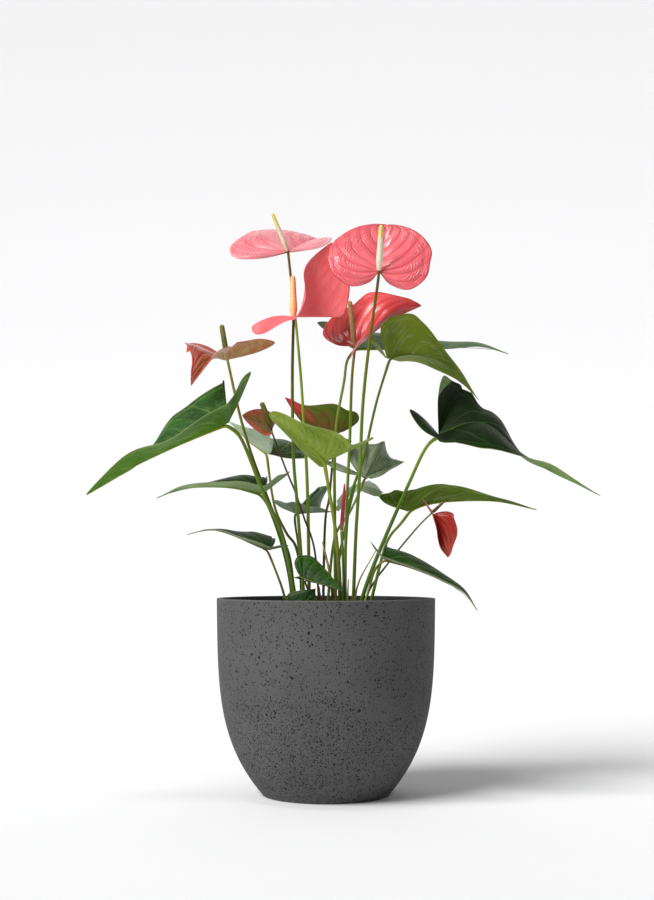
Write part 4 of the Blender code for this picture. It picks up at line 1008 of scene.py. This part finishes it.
# The pot: a thin-walled cup of cast stone
pot = {
    "height": 177,
    "rimRadius": 100,
    "footRadius": 57,
    "belly": 40,             # how far the side swells out above the foot, and how soon
    "bellyPower": 3.9,
    "wall": 4.5,
    "floor": 8,
    "corner": 4,
    "footRounding": 1.2,
    "rimRounding": 0.8,
    "sides": 192,
    "stone": "565656",
    "stoneShade": "4d4d4d",
    "paleGrain": "9a9a99",
    "darkGrain": "303030",
    # Near-black paint in the pits is painted shade inside the holes.
    "pitShade": "0a0a0a",
    # The rim colour is a painted highlight: a paler band round the top of the lip, where the light catches
    # it.
    "rim": "646464",
    "rimHighlight": (1.6, 0.4),      # the rim's paler band starts and is full at these depths below the top
    "patchHeight": 88,       # patches of crowded pits grow thicker below this height
    # pits from large to small: points in a metre, radius as a share of their spacing, share left plain, and
    # how many more of them open in the patches
    "pits": (
        (140, 0.19, 0.91, 0.05), (260, 0.24, 0.89, 0.18), (430, 0.33, 0.88, 0.42), (760, 0.46, 0.87, 0.55),
    ),
}


# Outer radius at a height: foot + belly x (1 - (1 - share) to the power bellyPower) + a slow widening.
def potRadius(height):
    share = np.asarray(height) / (pot["height"] * mm)
    slow = pot["rimRadius"] - pot["footRadius"] - pot["belly"]
    return (pot["footRadius"] + pot["belly"] * (1 - (1 - share) ** pot["bellyPower"]) + slow * share) * mm


# Cast stone: a cloudy grey; pits of all sizes, painted near-black as painted shade in the holes, that
# crowd together in patches low down; sandy grain; and a painted highlight, a paler band round the top of the
# rim.
def potFinish():
    finish, place = newFinish("stone_composite", {"Specular IOR Level": 0.3})
    z = place.parts()[2]
    cloud = place.clouds(14, 5, 0.6)
    grain = place.clouds(1400, 3, 0.7)
    patch = (place.clouds(19, 4, 0.6) + (pot["patchHeight"] * mm - z) * 3).step(0.46, 0.62)
    pits = 0.0
    for scale, reach, share, more in pot["pits"]:
        chosen = place.scatter(scale, "Color").parts()[0]
        hole = (place.scatter(scale) / (chosen * reach)).step(1.15, 0.85)
        pits = hole * (chosen + patch * more).step(share, share + 0.05) + pits
    pits = pits.step(0.0, 0.8)
    # Painted highlight along the top of the rim, a little uneven with the clouds.
    rimHighlight = z.step(*((pot["height"] - depth) * mm for depth in pot["rimHighlight"])) * (0.6 + cloud * 0.4)
    skin = layered(paint(pot["stoneShade"]), (cloud.step(0.3, 0.7), pot["stone"]),
                   (grain.step(0.48, 0.7) * 0.22, pot["paleGrain"]),
                   (grain.step(0.5, 0.28) * 0.5, pot["darkGrain"]), (pits * 0.92, pot["pitShade"]),
                   (rimHighlight, pot["rim"]))
    return dressed(finish, skin, 0.72 + grain * 0.2, grain * 0.35 - pits * 2, 0.4 * mm, 0.8)


# The pot's outline goes down the outside, under the foot, and up the inside, and turns once round. Its
# corners are quarter circles: edge - rounding x (1 - sine), height - rounding x (1 - cosine).
def addPot():
    height, wall, floor, corner = (pot[key] * mm for key in ("height", "wall", "floor", "corner"))
    rimRound, footRound = pot["rimRounding"] * mm, pot["footRounding"] * mm
    arc = np.linspace(0, np.pi / 2, 6)
    sine, cosine = np.sin(arc), np.cos(arc)
    outer = (height - rimRound) + (footRound - height + rimRound) * np.linspace(0, 1, 70)[1:-1]
    inner = (floor + corner) + (height - rimRound - floor - corner) * np.linspace(0, 1, 60)
    rimEdge, footEdge = potRadius(height - rimRound), potRadius(footRound)
    lowEdge = potRadius(floor + corner) - wall - corner
    runs = (
        (rimEdge - rimRound * (1 - sine), height - rimRound * (1 - cosine)),
        (potRadius(outer), outer),
        (footEdge - footRound * (1 - cosine), footRound * (1 - sine)),
        (np.linspace(footEdge - footRound, 0, 8)[1:], np.zeros(7)),
        (np.linspace(0, lowEdge, 8), np.full(8, floor)),
        ((lowEdge + corner * sine)[1:-1], (floor + corner * (1 - cosine))[1:-1]),
        (potRadius(inner) - wall, inner),
        ((rimEdge - wall + rimRound * (1 - cosine))[1:], (height - rimRound * (1 - sine))[1:]),
    )
    profile = np.concatenate([np.stack(run, axis=1) for run in runs])
    profile = np.vstack([profile, profile[:1]])
    grid = onCircles(profile[:, 0, None], onceRound(pot["sides"])[None, :], profile[:, 1, None])
    addGrid("pot_shell", grid, potFinish(), ["pot"], capped=False)


addPot()

# The soil: a low crown of dark peat with lumps, and crumbs and chips of bark lying on it
soil = {
    "top": 156,
    "crown": 5,              # how much lower the top lies at the wall than in the middle, in millimetres
    "lump": 1.2,
    "grit": 0.35,
    "corner": 8,
    "inset": 0.2,            # from the pot's wall, beside touchGap
    "sides": 160,
    "crumbs": 1400,
    "crumbSize": (0.7, 2.6),
    "crumbSpread": 91,       # radius of the round in which crumbs lie
    "clearOfStems": 5,
    "peat": "2e211a",
    "peatShade": "17110d",
    "chip": "5d4230",
    "fibre": "8a6a48",
}


# Height of the soil's top: top - crown x share squared + lumps and grit, each from two crossing waves.
def soilHeight(radius, angle):
    share = radius / (pot["rimRadius"] * mm)
    lumps = np.sin(5 * angle + 6 * share) * np.cos(3 * angle - 8 * share)
    grit = np.sin(630 * radius * np.cos(angle)) * np.cos(570 * radius * np.sin(angle))
    return (soil["top"] - soil["crown"] * share**2 + soil["lump"] * share * lumps + soil["grit"] * grit) * mm


# Peat: cloudy near-black brown with paler fibres. The crumbs' tone mixes in bark brown and a few pale chips.
def soilFinish(name):
    finish, place = newFinish(name, {"Specular IOR Level": 0.2})
    tone = pointMark(place, "tone")
    clod = place.clouds(160, 5, 0.7)
    fibre = place.scaled((300, 900, 500)).clouds(1.0, 4, 0.7)
    skin = layered(paint(soil["peatShade"]), (clod.step(0.3, 0.7), soil["peat"]),
                   (fibre.step(0.58, 0.72) * 0.4, soil["chip"]), (tone.step(0.3, 0.9), soil["chip"]),
                   (tone.step(0.93, 0.98), soil["fibre"]))
    return dressed(finish, skin, 0.8 + clod * 0.2, clod + fibre * 0.6, 1.2 * mm)


# The soil's skin: rings from its foot up the pot's inner wall and over the lumpy top to the middle.
def addSoil():
    turn = onceRound(soil["sides"])[None, :]
    low, high = (pot["floor"] + soil["corner"]) * mm, (soil["top"] - soil["crown"]) * mm
    clearance = (pot["wall"] + soil["inset"]) * mm + touchGap
    level = low + (high - low) * np.linspace(0, 1, 24)
    sideRadius = np.append(potRadius(low) - soil["corner"] * mm, potRadius(level)) - clearance
    topRadius = (potRadius(soil["top"] * mm) - clearance) * np.linspace(0.995, 0.02, 90)
    sideHeight = np.append(pot["floor"] * mm + touchGap, level)[:, None]
    height = np.concatenate([sideHeight + 0 * turn, soilHeight(topRadius[:, None], turn)])
    grid = onCircles(np.append(sideRadius, topRadius)[:, None], turn, height)
    addGrid("soil_bed", grid, soilFinish("soil"), ["soil"])


# Crumbs: one twenty-sided shape repeated, each turned, squashed and sized at random, clear of the stems.
def addCrumbs(feet):
    dice = np.random.default_rng(11)
    golden = (1 + 5**0.5) / 2
    shape = np.array([
        (-1, golden, 0), (1, golden, 0), (-1, -golden, 0), (1, -golden, 0), (0, -1, golden), (0, 1, golden),
        (0, -1, -golden), (0, 1, -golden), (golden, 0, -1), (golden, 0, 1), (-golden, 0, -1), (-golden, 0, 1),
    ])
    sides = np.array([
        (0, 11, 5), (0, 5, 1), (0, 1, 7), (0, 7, 10), (0, 10, 11), (1, 5, 9), (5, 11, 4), (11, 10, 2),
        (10, 7, 6), (7, 1, 8), (3, 9, 4), (3, 4, 2), (3, 2, 6), (3, 6, 8), (3, 8, 9), (4, 9, 5), (2, 4, 11),
        (6, 2, 10), (8, 6, 7), (9, 8, 1),
    ])
    count = soil["crumbs"] * 2
    radius = soil["crumbSpread"] * mm * np.sqrt(dice.random(count))
    angle = dice.random(count) * 2 * np.pi
    spot = np.stack([radius * np.cos(angle), radius * np.sin(angle)], axis=1)
    clear = np.linalg.norm(spot[:, None] - feet[None], axis=-1).min(axis=1) > soil["clearOfStems"] * mm
    radius, angle, spot = (value[clear][:soil["crumbs"]] for value in (radius, angle, spot))
    count = len(spot)
    low, high = soil["crumbSize"]
    size = (low + (high - low) * dice.random(count) ** 3) * mm / 2
    squash = 0.45 + 0.75 * dice.random((count, 1, 3))
    rough = 1 + 0.25 * (dice.random((count, 12, 1)) - 0.5)
    spin = np.linalg.qr(dice.normal(size=(count, 3, 3)))[0]
    spots = np.einsum("nij,nkj->nki", spin, shape[None] / 1.9 * squash * rough) * size[:, None, None]
    centre = np.concatenate([spot, (soilHeight(radius, angle) + size * 0.3)[:, None]], axis=1)
    spots = (spots + centre[:, None]).reshape(-1, 3)
    corners = (sides[None] + 12 * np.arange(count)[:, None, None]).reshape(-1, 3)
    tones = {"tone": np.repeat(dice.random(count), 12)}
    addTriangles("soil_crumbs", spots, corners, soilFinish("soil_crumbs"), ["soil"], None, tones)


addSoil()
stemPaths = [leaf["petiole"] for leaf in leaves.values()] + [bloom["stem"] for bloom in blooms.values()]
stemPaths += [bud["stem"]] + [look["path"] for look in sheaths.values()]
addCrumbs(millimetres([path[0][:2] for path in stemPaths]))
print("pot and soil made")

# The studio: a pale floor that sweeps up behind the pot, soft light from the left, and the camera
studio = {
    "floor": "f8f8f9",
    "floorMottle": "ececee",
    "front": -3.0,           # the floor's front edge, in metres from the pot
    "halfWidth": 4.0,
    "bendStart": 1.1,        # where the floor starts to bend up, behind the pot
    "bendRadius": 0.8,
    "backSlope": 72,         # degrees up from level: the paper leans back, so that it takes as much light
    "backLength": 3.0,
    "sky": "ffffff",
    "skyStrength": 0.2,
    "aim": (0, 0, 0.25),     # what the lights shine at: the middle of the plant
    "keyStrength": 3.05,
    "keyFrom": (-0.79, -0.62, 0.9),
    "keySpread": 34,         # degrees across, as seen from the plant: more gives softer shadows
    "glintPower": 2.4,       # a small bright panel above, for the highlights on the wax
    "glintSize": 0.2,
    "glintPlace": (-0.26, -0.2, 1.45),
    "cameraPlace": (0.00092, -1.34, 0.21),
    "cameraTilt": 4.4,       # degrees up from level
    "cameraFocus": 1454,     # focal length in pixels of the picture
    "pictureHeight": 900,
    "sensor": 36,            # millimetres, along the picture's height
}


# Backdrop: nearly white paper with a trace of mottling.
def floorFinish():
    finish, place = newFinish("floor", {"Specular IOR Level": 0.1})
    skin = layered(paint(studio["floor"]), (place.clouds(3, 2) * 0.02, studio["floorMottle"]))
    return dressed(finish, skin, 0.85 + place.clouds(20, 2) * 0.1)


# The floor is level to behind the pot, rises in a bend, and goes on up at the slope where the bend ends:
# start + radius x sine back, and radius x (1 - cosine) up.
def addFloor():
    slope = math.radians(studio["backSlope"])
    bend = np.linspace(0, slope, 24)
    back = np.append(studio["front"], studio["bendStart"] + studio["bendRadius"] * np.sin(bend))
    up = np.append(0.0, studio["bendRadius"] * (1 - np.cos(bend)))
    back = np.append(back, back[-1] + studio["backLength"] * math.cos(slope))
    up = np.append(up, up[-1] + studio["backLength"] * math.sin(slope))
    side = np.array([-1, 1]) * studio["halfWidth"]
    grid = np.stack(np.broadcast_arrays(side, back[:, None], up[:, None]), axis=-1)
    corner = np.arange(len(back) - 1)[:, None] * 2 + np.array([0, 1, 3, 2])
    mesh = bpy.data.meshes.new("floor")
    mesh.from_pydata(grid.reshape(-1, 3).tolist(), [], corner.tolist())
    mesh.polygons.foreach_set("use_smooth", np.ones(len(corner), bool))
    mesh.materials.append(floorFinish())
    floor = bpy.data.objects.new("floor", mesh)
    bpy.context.scene.collection.objects.link(floor)


# Puts a light at a place, turned so that it shines from there to the middle of the plant.
def addLamp(name, light, place):
    lamp = bpy.data.objects.new(name, light)
    lamp.location = place
    aim = np.array(studio["aim"]) - np.array(place)
    lamp.rotation_euler = (math.atan2(math.hypot(aim[0], aim[1]), -aim[2]), 0, math.atan2(-aim[0], aim[1]))
    bpy.context.scene.collection.objects.link(lamp)


# The floor, both lights, the sky and the camera, which looks level but for its tilt.
def addStudio():
    addFloor()
    key = bpy.data.lights.new("key", "SUN")
    key.energy = studio["keyStrength"]
    key.angle = math.radians(studio["keySpread"])
    addLamp("key", key, np.array(studio["keyFrom"]) * 2 + studio["aim"])
    glint = bpy.data.lights.new("glint", "AREA")
    glint.energy = studio["glintPower"]
    glint.size = studio["glintSize"]
    addLamp("glint", glint, studio["glintPlace"])
    sky = bpy.data.worlds.new("sky")
    sky.use_nodes = True
    sky.node_tree.nodes["Background"].inputs["Color"].default_value = paint(studio["sky"])
    sky.node_tree.nodes["Background"].inputs["Strength"].default_value = studio["skyStrength"]
    bpy.context.scene.world = sky
    bpy.context.scene.view_settings.view_transform = "Standard"
    lens = bpy.data.cameras.new("camera")
    lens.sensor_width = studio["sensor"]
    lens.lens = studio["sensor"] * studio["cameraFocus"] / studio["pictureHeight"]
    lens.clip_start = 0.01
    camera = bpy.data.objects.new("camera", lens)
    camera.location = studio["cameraPlace"]
    camera.rotation_euler = (math.radians(90 + studio["cameraTilt"]), 0, 0)
    bpy.context.scene.collection.objects.link(camera)
    bpy.context.scene.camera = camera


addStudio()
print("studio set")
